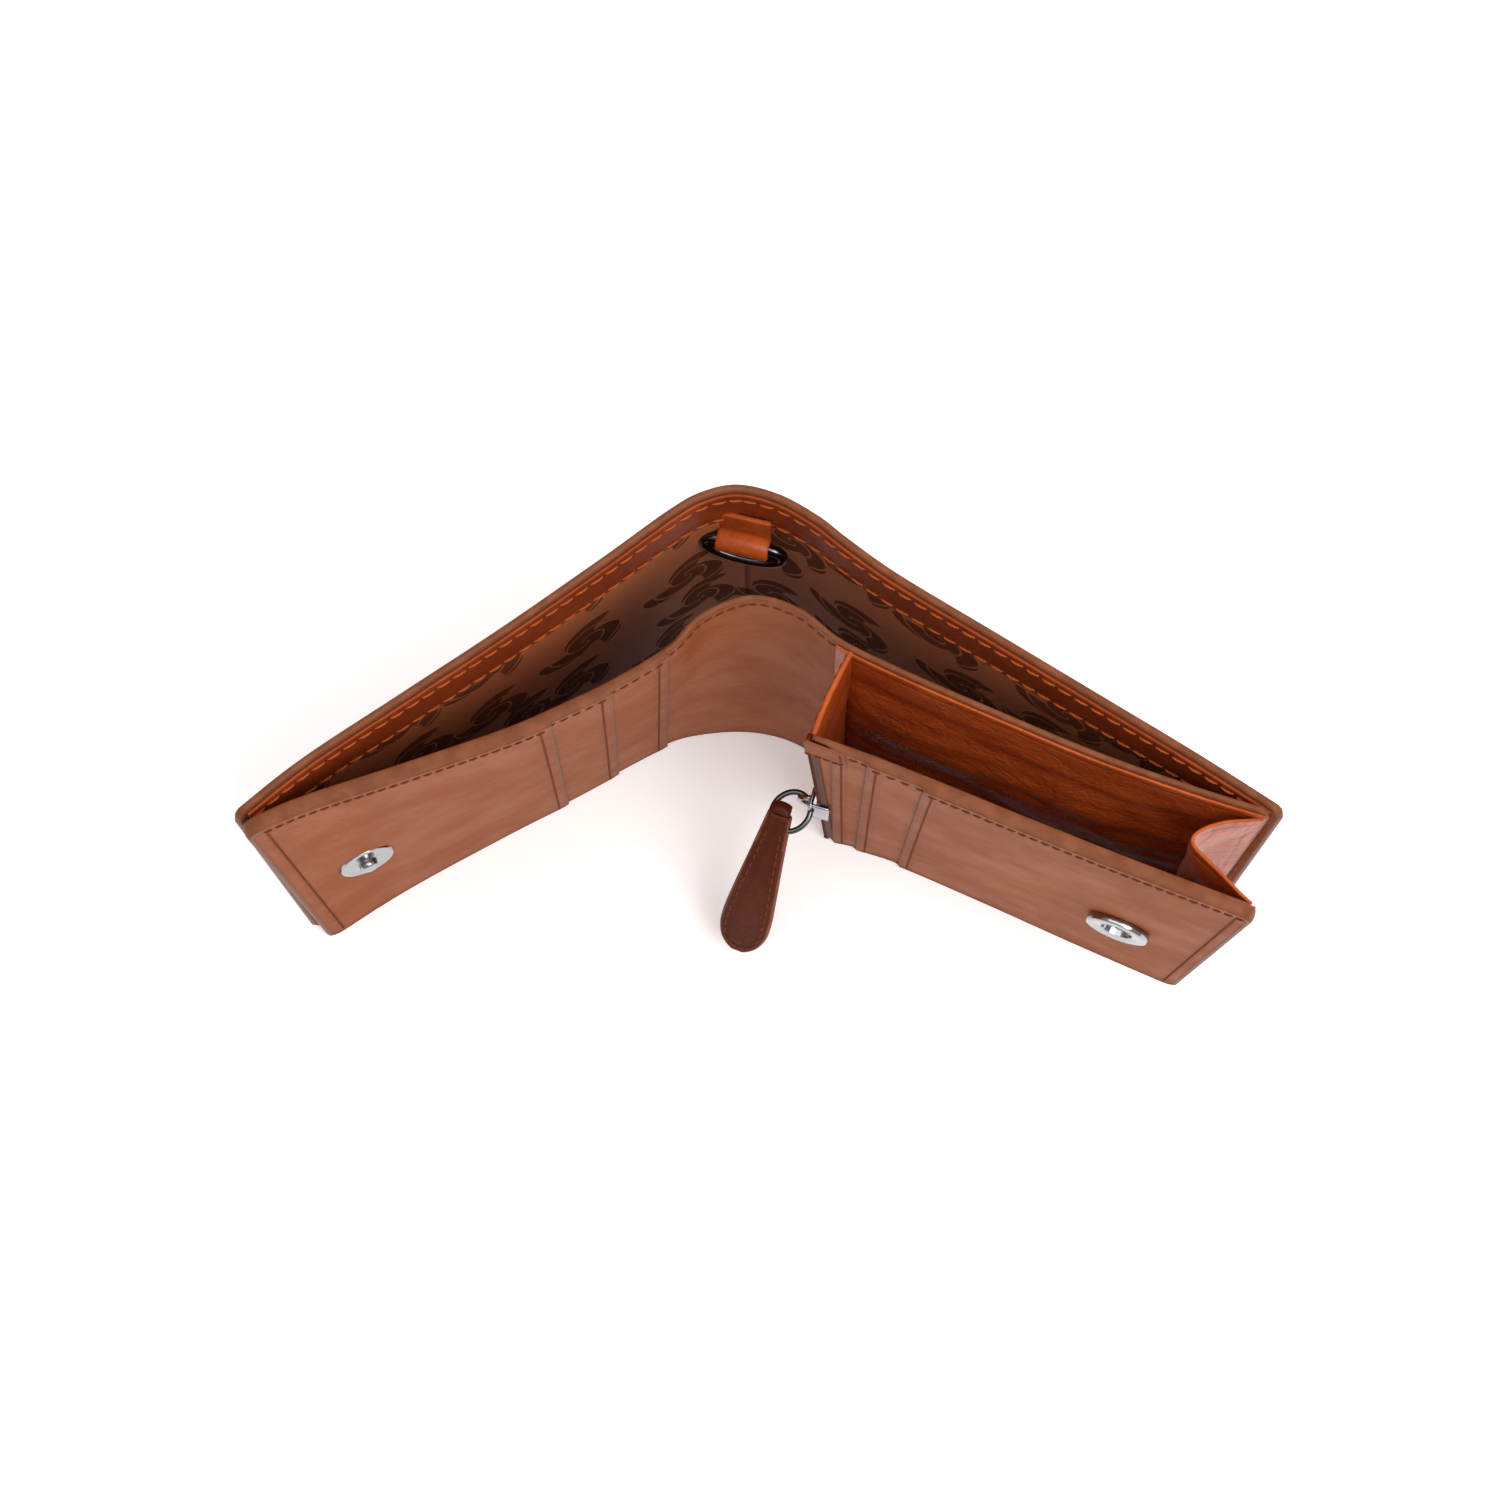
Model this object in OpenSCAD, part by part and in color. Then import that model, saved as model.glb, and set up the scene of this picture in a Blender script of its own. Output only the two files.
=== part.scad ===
// Bifold wallet standing half open on its lower edges.
// Origin: middle of its outline on the surface it stands on. +Z is up, -Y faces the open side.
// Right-hand pieces are drawn; left-hand pieces are their mirror image in X.

/* [Overall] */
// Height of the cover as it stands
cover_h = 95; // [85:1:115]
// Width of one cover half, from the spine fold to its end seam
cover_w = 84.4; // [78:0.5:105]
// Angle of a cover half to the X axis at rest
cover_angle = 34.8; // [33:0.1:37]

/* [Spine] */
// Half distance between the two fold lines of the cover
fold_x = 17; // [16:0.1:19]
// Distance of the cover's fold lines behind the fold datum
fold_y = 13.9; // [12:0.1:16]
// Inside radius of the curved spine
spine_r = 22; // [20:0.5:24]
// Half width of the divider's curved middle
middle_x = 13.2; // [12:0.1:14]
// Distance of the middle's fold lines in front of the fold datum
middle_y = 5.8; // [5:0.1:7]
// Outside radius of the divider's curved middle
middle_r = 11; // [9:0.5:12]

/* [Leather and lining] */
// Thickness of the cover leather
cover_t = 1.4; // [1:0.1:1.8]
// Thickness of the divider leather
divider_t = 1.3; // [1:0.1:1.6]
// Thickness of the card pockets' leather
pocket_t = 0.7; // [0.5:0.05:0.8]
// Thickness of the thin leather that lines the gusset pocket
soft_t = 0.5; // [0.4:0.05:0.6]
// Thickness of the fabric lining
fabric_t = 0.25; // [0.2:0.05:0.3]
// Thickness of the card stiffener in each cover half
board_t = 0.4; // [0.3:0.05:0.5]
// Thickness of the leather facing inside the cover's upper edge
facing_t = 0.6; // [0.4:0.05:0.7]
// Height of the leather facing
facing_h = 13.5; // [10:0.5:18]
// Radius of the leather's outer corners
corner_r = 3; // [1:0.5:5]

/* [Left card pockets] */
// Distance from the divider's fold line to the deepest pocket's edge
left_start = 1.6; // [1.5:0.1:4]
// Step between the edges of neighbouring pockets
pocket_step = 11.2; // [9:0.1:13]
// Distance of the front pocket's edge from the fold line
left_front = 25.2; // [23.5:0.1:28]

/* [Gusset pocket and card panel] */
// Opening of the gusset pocket at rest
gusset_gap = 12.5; // [12:0.5:15]
// Depth of the V fold in the gusset
gusset_fold = 9.5; // [6:0.5:11]
// Distance from the fold line to the card panel's spine-side edge
panel_start = 5.9; // [5.9:0.1:7]
// Space inside the zip pocket
zip_space = 1.2; // [1.2:0.1:1.5]
// Distance from the panel's edge to the first card slot
slot_first = 4; // [3:0.5:5]
// Distance from the panel's edge to the front pocket's edge
slot_front = 15; // [14:0.1:17]

/* [Snap] */
// Distance of the snap from the divider's fold line
snap_x = 61.5; // [55:0.5:66]
// Height of the snap's centre
snap_z = 41; // [30:1:55]
// Diameter of the stud's disc
stud_d = 10; // [8:0.5:12]
// Diameter of the stud's post
post_d = 3.4; // [3:0.1:4]
// Diameter of the socket's disc
socket_d = 11; // [9:0.5:13]
// Clearance of the post in the socket, all round
post_gap = 0.4; // [0.2:0.05:0.6]

/* [Zip] */
// Height of the slider's centre at rest
slider_z = 36; // [32:1:55]
// Distance between teeth on one side
tooth_pitch = 1.5; // [1.4:0.1:2]
// Mean radius of the pull ring
ring_r = 3.1; // [2.8:0.1:3.2]
// Diameter of the pull ring's wire
ring_wire = 1.1; // [0.9:0.1:1.2]
// Downward tilt of the pull ring at rest
ring_tilt = 45; // [40:1:50]
// Length of the leather pull tab below the ring
tab_len = 37; // [30:1:42]
// Widest part of the pull tab
tab_w = 9.4; // [8:0.1:11]
// Thickness of the pull tab
tab_t = 2.2; // [1.8:0.1:2.4]
// Slope of the pull tab below the horizontal at rest
tab_slope = 58; // [50:1:65]

/* [Key ring] */
// Height of the key ring's bar
key_z = 76; // [65:1:78]
// Outside width of the key ring
key_w = 13.6; // [12:0.2:15]
// Drop of the key ring below its bar
key_drop = 9; // [8:0.5:11]
// Diameter of the key ring's wire
key_wire = 1.7; // [1.4:0.1:1.9]
// Diameter of the leather loop's roll
loop_d = 4.2; // [3.8:0.1:4.4]
// Length of the leather loop along the bar
loop_len = 8.4; // [7:0.2:9]

/* [Hidden] */
$fn = 48;

tan_leather = [0.60, 0.37, 0.24];
glossy_leather = [0.55, 0.24, 0.10];
dark_leather = [0.40, 0.16, 0.08];
fabric = [0.30, 0.19, 0.13];
nickel = [0.78, 0.79, 0.80];
gunmetal = [0.25, 0.26, 0.28];

fold_gap = 0.25;          // half the gap between leather pieces at a fold line
layer_gap = 0.05;         // gap between layers that lie on each other
inner_setback = 1.1;      // linings stop this far from the cover's fold lines
end_setback = 8;          // linings stop this far from the end seam
facing_setback = 6;       // the facing stops this far from the end seam
seam_gap = 0.9;           // cover leather to divider leather at the end seam
end_gap = 0.4;            // the divider stops this far short of the end seam
middle_leg = 45;          // angle of the curved middle's straight legs

middle_gap = 0.45;        // gap between the divider's middle and its halves

// The divider half runs from the middle's fold line to the cover's end.
end_x = fold_x + cover_w * cos(cover_angle) - seam_gap * sin(cover_angle);
end_y = fold_y - cover_w * sin(cover_angle) - seam_gap * cos(cover_angle);
divider_angle = atan((-middle_y - end_y) / (end_x - middle_x));
divider_w = (end_x - middle_x) / cos(divider_angle) - end_gap;

facing_z = cover_h - facing_h;
lining_top = facing_z - 0.3;
lining_low = 1;
board_low = 3;            // the stiffener starts this high
top_inset = 0.5;          // the facing and pockets stop this far below the cover's edge

arc_x = spine_r * sin(cover_angle);
arc_y = fold_y + (fold_x - arc_x) * tan(cover_angle);
arc_centre = arc_y - spine_r * cos(cover_angle);
spine_inner = arc_centre + spine_r;

mid_x = middle_r * sin(middle_leg);
mid_top = -middle_y + (middle_x - mid_x) * tan(middle_leg);
mid_centre = mid_top - middle_r * cos(middle_leg);

panel_inset = 0.6;        // the card panel stops this far short of the divider's end
slot_shift = 0.4;         // the middle slot lies this far past halfway

// Layers in front of the right divider, as distances from its back face.
back_lining_y = divider_t + layer_gap;
pocket_inner = back_lining_y + soft_t;
wall_y = pocket_inner + gusset_gap;
bag_y = wall_y + soft_t + layer_gap;
card_y = bag_y + fabric_t + zip_space;
slot_back_y = card_y + pocket_t + layer_gap;
slot_middle_y = slot_back_y + pocket_t + layer_gap;
front_y = slot_middle_y + pocket_t + layer_gap;
panel_front = front_y + pocket_t;
panel_end = divider_w - panel_inset;
zip_y = (wall_y + card_y + pocket_t) / 2;
pocket_low = 2;           // the gusset pocket's linings start this high
pocket_top = 1;           // and stop this far below the top edge
gusset_clear = 0.3;       // gusset to the card panel's lining
bag_inset = 3;            // the zip pocket's lining stops this far inside the panel
slot_middle_x = panel_start + (slot_first + slot_front) / 2 + slot_shift;

// Layers in front of the left divider.
left_back_y = divider_t + layer_gap;
left_middle_y = left_back_y + pocket_t + layer_gap;
left_front_y = left_middle_y + pocket_t + layer_gap;
left_face = left_front_y + pocket_t;

stud_t = 0.9;
post_h = 1.3;
socket_t = 1.7;
washer_d = 6;             // washer behind the stud
washer_t = 0.5;
backing_d = 8;            // washer behind the socket
backing_t = 0.4;
magnet_d = 6.6;
part_gap = 0.2;           // leather is cut back this far round a washer or magnet
bore_d = post_d + 2 * post_gap;
through = 40;             // longer than any stack of layers it is cut through

tape_w = 3.8;             // the zip tape reaches this far behind the panel's edge
tape_t = 0.25;
tape_over = 2;            // the tape and stops go this far past the teeth
stop_h = 1.4;
tooth_h = 0.65;
tooth_w = 1.5;
tooth_lap = 0.25;         // the two rows of teeth overlap by twice this
tooth_out = 1.3;          // teeth stand this far out of the panel's edge
tooth_deep = 0.9;
slider_h = 8;
slider_plate = 0.6;
slider_gap = 0.15;
bridge_gap = 0.2;

// The outline's middle in Y, between the spine and the card panel's front corner.
outline_back = spine_inner + cover_t;
outline_front = -middle_y - panel_end * sin(divider_angle) - panel_front * cos(divider_angle);
centre_y = -(outline_back + outline_front) / 2;

// Places a child on the right cover half: X runs along it, Y points out of the wallet.
module on_cover() {
    translate([fold_x, fold_y + centre_y, 0]) rotate([0, 0, -cover_angle]) children();
}

// Places a child on the right divider half: X runs along it, Y points at the cover.
module on_divider() {
    translate([middle_x, centre_y - middle_y, 0]) rotate([0, 0, -divider_angle]) children();
}

module left() {
    mirror([1, 0, 0]) children();
}

// A flat sheet between two X and two Z values, from y to y + t, with rounded outer corners.
module sheet(x0, x1, z0, z1, y, t, r = 0) {
    translate([0, y + t, 0]) rotate([90, 0, 0]) linear_extrude(t)
        if (r > 0) {
            translate([x0, z0]) square([x1 - x0 - r, z1 - z0]);
            translate([x0, z0 + r]) square([x1 - x0, z1 - z0 - 2 * r]);
            translate([x1 - r, z0 + r]) circle(r);
            translate([x1 - r, z1 - r]) circle(r);
        } else {
            translate([x0, z0]) square([x1 - x0, z1 - z0]);
        }
}

// A sheet on the wallet's open side: its back face is d in front of the divider's back.
module front_sheet(x0, x1, z0, z1, d, t, r = 0) {
    sheet(x0, x1, z0, z1, -d - t, t, r);
}

// Points along a symmetric bend: an arc of radius r about [0, cy], with straight ends.
function bend_side(r, cy, angle, run) = concat(
    [for (a = [0 : angle / 12 : angle + 0.001]) [r * sin(a), cy + r * cos(a)]],
    [[r * sin(angle) + run * cos(angle), cy + r * cos(angle) - run * sin(angle)]]);
function flip(points) = [for (i = [len(points) - 1 : -1 : 1]) [-points[i][0], points[i][1]]];
function bend(r, cy, angle, run) =
    let (side = bend_side(r, cy, angle, run)) concat(flip(side), side);
function reverse(points) = [for (i = [len(points) - 1 : -1 : 0]) points[i]];

// Plan of a band of thickness t whose inner face has radius r, with its ends set back.
module bend_band(r, t, cy, angle, run) {
    translate([0, centre_y])
        polygon(concat(bend(r + t, cy, angle, run), reverse(bend(r, cy, angle, run))));
}

// A band that follows the spine; d is how far its inner face lies outside the cover's.
module spine_band(d, t, setback) {
    bend_band(spine_r + d, t, arc_centre, cover_angle,
              (fold_x - arc_x) / cos(cover_angle) - setback);
}

// A band that follows the divider's middle; d is how far its back face lies inside middle_r.
module middle_band(d, t, setback) {
    bend_band(middle_r - d - t, t, mid_centre, middle_leg,
              (middle_x - mid_x) / cos(middle_leg) - setback);
}

// ---- Cover ----
module cover_spine() {
    color(tan_leather) linear_extrude(cover_h) spine_band(0, cover_t, fold_gap);
}

module spine_lining() {
    color(fabric) translate([0, 0, lining_low]) linear_extrude(lining_top - lining_low)
        spine_band(-fabric_t - layer_gap, fabric_t, inner_setback);
}

module spine_facing() {
    color(dark_leather) translate([0, 0, facing_z]) linear_extrude(facing_h - top_inset)
        spine_band(-facing_t - layer_gap, facing_t, inner_setback);
}

module cover_half() {
    color(tan_leather) on_cover() sheet(fold_gap, cover_w, 0, cover_h, 0, cover_t, corner_r);
}

module cover_board() {
    color("tan") on_cover()
        front_sheet(inner_setback, cover_w - end_setback, board_low, lining_top, layer_gap, board_t);
}

module cover_lining() {
    color(fabric) on_cover()
        front_sheet(inner_setback, cover_w - end_setback, lining_low, lining_top,
                    board_t + 2 * layer_gap, fabric_t);
}

module cover_facing() {
    color(dark_leather) on_cover()
        front_sheet(inner_setback, cover_w - facing_setback, facing_z, cover_h - top_inset,
                    layer_gap, facing_t);
}

// ---- Key ring at the spine ----
loop_gap = 0.75;          // loop to the lining, clear of the facing's thickness
key_y = spine_inner - layer_gap - fabric_t - loop_gap - loop_d / 2;

module key_loop() {
    color(glossy_leather) {
        translate([-loop_len / 2, key_y + centre_y, key_z]) rotate([0, 90, 0]) difference() {
            cylinder(d = loop_d, h = loop_len);
            translate([0, 0, -1]) cylinder(d = key_wire + 2 * wire_gap, h = loop_len + 2);
        }
        translate([-loop_len / 2, key_y + centre_y + loop_d / 2 - 1, key_z]) cube([loop_len, 1.2, 5]);
    }
}

wire_gap = 0.15;          // key ring to the loop's bore, all round
key_lean = 18;            // the ring leans forward at rest by this angle

module key_ring() {
    half = key_w / 2 - key_wire / 2;
    leg = key_drop - key_wire / 2 - half;
    color(gunmetal) translate([0, key_y + centre_y, key_z]) rotate([-key_lean, 0, 0]) {
        rotate([0, 90, 0]) cylinder(d = key_wire, h = 2 * half + key_wire, center = true);
        for (side = [-1, 1]) translate([side * half, 0, -leg]) cylinder(d = key_wire, h = leg);
        translate([0, 0, -leg]) rotate([90, 0, 0]) rotate([0, 0, 180])
            rotate_extrude(angle = 180) translate([half, 0]) circle(d = key_wire, $fn = 24);
    }
}

// ---- Divider ----
module divider_middle() {
    color(tan_leather) linear_extrude(cover_h) middle_band(0, divider_t, middle_gap);
}

module middle_lining() {
    color(fabric) translate([0, 0, lining_low]) linear_extrude(cover_h - 2 * lining_low)
        middle_band(-fabric_t - layer_gap, fabric_t, 1.2);
}

module divider_half() {
    color(tan_leather) on_divider()
        front_sheet(middle_gap, divider_w, 0, cover_h, 0, divider_t, corner_r);
}

module divider_half_lining() {
    color(fabric) on_divider()
        sheet(1.2, divider_w - end_setback, lining_low, cover_h - 2, layer_gap, fabric_t);
}

// ---- Left card pockets and the stud of the snap ----
module left_pocket(start, d) {
    color(tan_leather) on_divider()
        front_sheet(start, divider_w, top_inset, cover_h - top_inset, d, pocket_t, corner_r);
}

// Places a child on the snap's axis: Z points at the viewer, from distance d.
module on_snap(d) {
    on_divider() translate([snap_x, -d, snap_z]) rotate([90, 0, 0]) children();
}

module snap_stud() {
    color(nickel) on_snap(left_face + layer_gap) {
        cylinder(d = stud_d, h = stud_t);
        cylinder(d = post_d, h = stud_t + post_h);
    }
}

module left_pocket_front() {
    difference() {
        left_pocket(left_front, left_front_y);
        color(tan_leather) on_snap(0) cylinder(d = washer_d + 2 * part_gap, h = through);
    }
}

// The stud's prongs are clenched over this washer, in a pocket cut in the layers above it.
module stud_backing() {
    color(nickel) on_snap(left_front_y + 2 * layer_gap) cylinder(d = washer_d, h = washer_t);
}

// ---- Gusset pocket ----
module pocket_back_lining() {
    color(glossy_leather) on_divider()
        front_sheet(panel_start, panel_end, pocket_low, cover_h - pocket_top, back_lining_y, soft_t);
}

module pocket_gusset() {
    low = pocket_inner + layer_gap;
    high = wall_y - gusset_clear;
    mid = (low + high) / 2;
    color(glossy_leather) on_divider() {
        translate([0, 0, pocket_low]) linear_extrude(cover_h - 2 * pocket_low) {
            translate([panel_start, -high]) square([soft_t, high - low]);
            polygon([[panel_end, -low], [panel_end - gusset_fold, -mid], [panel_end, -high],
                     [panel_end, -high + 2 * soft_t], [panel_end - gusset_fold + 2 * soft_t, -mid],
                     [panel_end, -low - 2 * soft_t]]);
        }
        translate([panel_start, -high, pocket_low])
            cube([panel_end - gusset_fold - panel_start, high - low, soft_t]);
    }
}

// ---- Card panel ----
module pocket_front_lining() {
    color(glossy_leather) on_divider()
        front_sheet(panel_start, panel_end, pocket_low, cover_h - pocket_top, wall_y, soft_t);
}

module zip_pocket_lining() {
    color(fabric) on_divider()
        front_sheet(panel_start + tape_w + layer_gap + 0.15, panel_end - bag_inset, bag_inset,
                    cover_h - bag_inset, bag_y, fabric_t);
}

module card_sheet(start, d) {
    color(tan_leather) on_divider()
        front_sheet(start, panel_end, 0, cover_h, d, pocket_t, corner_r);
}

module card_front() {
    color(tan_leather) difference() {
        card_sheet(panel_start + slot_front, front_y);
        on_snap(0) cylinder(d = magnet_d + 2 * part_gap, h = through);
    }
}

module snap_socket() {
    color(nickel) on_snap(panel_front + layer_gap) difference() {
        cylinder(d = socket_d, h = socket_t);
        translate([0, 0, -through / 2]) cylinder(d = bore_d, h = through);
    }
}

// The magnet sits in the front pocket's leather, behind the socket's disc.
module snap_magnet() {
    color(gunmetal) on_snap(front_y + layer_gap) difference() {
        cylinder(d = magnet_d, h = pocket_t - layer_gap);
        translate([0, 0, -through / 2]) cylinder(d = bore_d, h = through);
    }
}

module socket_backing() {
    color(nickel) on_snap(card_y - layer_gap - backing_t) cylinder(d = backing_d, h = backing_t);
}

// ---- Zip ----
zip_x = panel_start - tooth_out;
zip_low = 5;
zip_high = cover_h - 5;
teeth = floor((zip_high - zip_low) / tooth_pitch);

module zip_tapes() {
    color("saddlebrown") on_divider() for (side = [0, 1]) {
        d = side == 0 ? bag_y : card_y - layer_gap - tape_t;
        front_sheet(zip_x + tooth_deep + layer_gap, panel_start + tape_w,
                    zip_low - tape_over, zip_high + tape_over, d, tape_t);
    }
}

module zip_teeth() {
    color("silver") on_divider() for (i = [0 : teeth - 1])
        for (side = [0, 1]) {
            z = zip_low + i * tooth_pitch + side * tooth_pitch / 2;
            y = -zip_y + (side == 0 ? -tooth_lap : tooth_lap - tooth_w);
            translate([zip_x, y, z]) cube([tooth_deep, tooth_w, tooth_h]);
        }
}

module zip_stops() {
    color("silver") on_divider() for (z = [zip_low - tape_over, zip_high + tape_over - stop_h])
        translate([zip_x, -zip_y - tooth_w / 2, z]) cube([tooth_deep, tooth_w, stop_h]);
}

// The slider's plate lies outside the teeth and its flanges run beside them.
module zip_slider() {
    half = tooth_w - tooth_lap + slider_gap;
    flange = 0.5;
    face = zip_x - slider_gap - slider_plate;
    hole_z = 2.2;
    hole_x = ring_wire + 2 * bridge_gap;
    color(nickel) on_divider() translate([0, -zip_y, slider_z]) {
        translate([face, -half - flange, -slider_h / 2]) cube([slider_plate, 2 * (half + flange), slider_h]);
        for (y = [-half - flange, half])
            translate([face, y, -slider_h / 2])
                cube([slider_plate + slider_gap + tooth_deep, flange, slider_h]);
        difference() {
            translate([face - hole_x - 0.6, -0.6, -hole_z / 2 - 0.7])
                cube([hole_x + 0.6 + slider_plate, 1.2, hole_z + 1.4]);
            translate([face - hole_x, -2, -hole_z / 2]) cube([hole_x, 4, hole_z]);
        }
    }
}

// The ring turns about the bridge: this is the centre of its wire there.
bridge_x = zip_x - slider_gap - slider_plate - ring_wire / 2 - bridge_gap;

module on_bridge() {
    on_divider() translate([bridge_x, -zip_y, slider_z]) children();
}

// Inside the ring's plane: X points back at the bridge, Y at the divider.
module on_ring() {
    on_bridge() rotate([0, -ring_tilt, 0]) translate([-ring_r, 0, 0]) children();
}

module ring_body(wire) {
    rotate_extrude($fn = 64) translate([ring_r, 0]) circle(d = wire, $fn = 24);
}

module pull_ring() {
    color(gunmetal) on_ring() ring_body(ring_wire);
}

tab_gap = 0.4;            // ring to the tab's bore, all round

// The tab's neck on the ring's front side: Z runs up the tab, Y through its thickness.
module on_tab() {
    on_bridge() translate([-ring_r * cos(ring_tilt), -ring_r, -ring_r * sin(ring_tilt)])
        rotate([-(90 - tab_slope), 0, 0]) children();
}

// Leather tab: a teardrop whose narrow neck goes round the ring.
module pull_tab() {
    neck = 2.4;
    neck_len = 6;
    loop = ring_wire + 2.4;
    reach = tab_w / 2;
    color(dark_leather) difference() {
        on_tab() {
            translate([0, tab_t / 2, 0]) rotate([90, 0, 0]) linear_extrude(tab_t) {
                translate([-neck / 2, -neck_len]) square([neck, neck_len]);
                polygon([[-neck / 2, 1 - neck_len], [neck / 2, 1 - neck_len], [tab_w / 2, -tab_len + reach],
                         [-tab_w / 2, -tab_len + reach]]);
                translate([0, -tab_len + reach]) circle(reach);
            }
            rotate([0, 90, 0]) cylinder(d = loop, h = neck, center = true);
        }
        on_ring() ring_body(ring_wire + 2 * tab_gap);
    }
}

cover_spine();
spine_lining();
spine_facing();
key_loop();
key_ring();
left() cover_half();  // cover_left
cover_half();  // cover_right
left() cover_board();  // board_left
cover_board();  // board_right
left() cover_lining();  // cover_lining_left
cover_lining();  // cover_lining_right
left() cover_facing();  // facing_left
cover_facing();  // facing_right
divider_middle();
middle_lining();
left() divider_half();  // divider_left
divider_half();  // divider_right
left() divider_half_lining();  // divider_lining_left
divider_half_lining();  // divider_lining_right
left() left_pocket(left_start, left_back_y);  // left_pocket_back
left() left_pocket(left_front - pocket_step, left_middle_y);  // left_pocket_middle
left() left_pocket_front();
left() snap_stud();
left() stud_backing();
pocket_back_lining();
pocket_gusset();
pocket_front_lining();
zip_pocket_lining();
card_sheet(panel_start, card_y);  // card_backing
card_sheet(panel_start + slot_first, slot_back_y);  // card_slot_back
card_sheet(slot_middle_x, slot_middle_y);  // card_slot_middle
card_front();
zip_tapes();
zip_teeth();
zip_stops();
snap_socket();
snap_magnet();
socket_backing();
zip_slider();
pull_ring();
pull_tab();
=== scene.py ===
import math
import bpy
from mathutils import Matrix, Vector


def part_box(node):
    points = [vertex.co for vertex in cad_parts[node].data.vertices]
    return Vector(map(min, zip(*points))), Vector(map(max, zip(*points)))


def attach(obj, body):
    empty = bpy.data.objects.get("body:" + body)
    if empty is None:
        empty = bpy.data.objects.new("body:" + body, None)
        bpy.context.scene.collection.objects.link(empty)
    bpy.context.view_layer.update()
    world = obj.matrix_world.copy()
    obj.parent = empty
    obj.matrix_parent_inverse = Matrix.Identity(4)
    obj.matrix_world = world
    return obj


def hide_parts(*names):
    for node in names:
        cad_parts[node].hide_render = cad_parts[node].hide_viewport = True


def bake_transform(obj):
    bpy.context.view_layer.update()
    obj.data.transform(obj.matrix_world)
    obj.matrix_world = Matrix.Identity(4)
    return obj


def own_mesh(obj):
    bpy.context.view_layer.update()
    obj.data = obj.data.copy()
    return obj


bl_info = {
    "name": "Bifold Wallet",
    "version": (1, 0, 0),
    "blender": (4, 5, 0),
    "location": "View3D > Sidebar > Wallet",
    "description": "Builds a leather bifold wallet round its packed frame, one piece at a time",
    "category": "Add Mesh",
}

import bmesh
import bpy
import numpy as np
from bpy.props import FloatProperty, FloatVectorProperty, PointerProperty
from mathutils import Matrix, Vector

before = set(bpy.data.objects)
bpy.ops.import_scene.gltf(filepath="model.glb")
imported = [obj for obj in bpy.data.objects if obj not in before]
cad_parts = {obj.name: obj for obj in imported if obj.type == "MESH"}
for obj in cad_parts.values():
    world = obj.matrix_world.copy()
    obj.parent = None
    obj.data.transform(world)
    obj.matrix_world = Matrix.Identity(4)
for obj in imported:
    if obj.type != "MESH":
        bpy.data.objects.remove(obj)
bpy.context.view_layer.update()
MM = 0.001
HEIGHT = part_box("cover_spine")[1].z / MM
# The plan courses below are measured from a datum this far in front of the spine's back face.
SPINE_BEHIND_DATUM = 22.33
DATUM_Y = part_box("cover_spine")[1].y / MM - SPINE_BEHIND_DATUM


def srgb(red, green, blue, alpha=1.0):
    """A linear colour from 0-255 screen values."""
    def linear(value):
        value /= 255
        return value / 12.92 if value <= 0.04045 else ((value + 0.055) / 1.055) ** 2.4
    return (linear(red), linear(green), linear(blue), alpha)


# ---------------------------------------------------------------- plan courses

# Outer face of the cover, in mm, from the left end seam to the right one.
COVER_COURSE = [(-84.3, -32.4), (-73, -23.4), (-56.8, -12.7), (-40.5, -2), (-24, 9.5),
                (-12.5, 17.8), (-7, 20.8), (-1, 21.9), (5.9, 20), (12.4, 16), (17.2, 11.9),
                (25.3, 5.6), (41.3, -5), (57, -15.4), (72.8, -25.9), (86.6, -35.6)]
# Back face of the divider along its upper edge and along its lower edge.
DIVIDER_TOP = [(-83, -34), (-73, -29.8), (-56.7, -24.7), (-40.5, -19.4), (-32.2, -16),
               (-22.2, -11.3), (-13, -5.7), (-7.7, -0.4), (0.6, 2.7), (8.7, 0.3), (15.1, -5),
               (24.8, -10.3), (40.8, -18), (56.7, -25.3), (72.5, -31.5), (84.5, -35.6)]
DIVIDER_BOTTOM = [(-83, -33.6), (-67.5, -23.9), (-48.4, -13.7), (-35.3, -7.2), (-25.8, -2.2),
                  (-16.1, 2.6), (-9.6, 4.2), (-1.3, 4.6), (5.9, 3.3), (11.6, 0.6), (17, -3.5),
                  (25, -8.2), (41, -16), (57, -23.4), (72.5, -30.6), (84.5, -35.4)]


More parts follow.
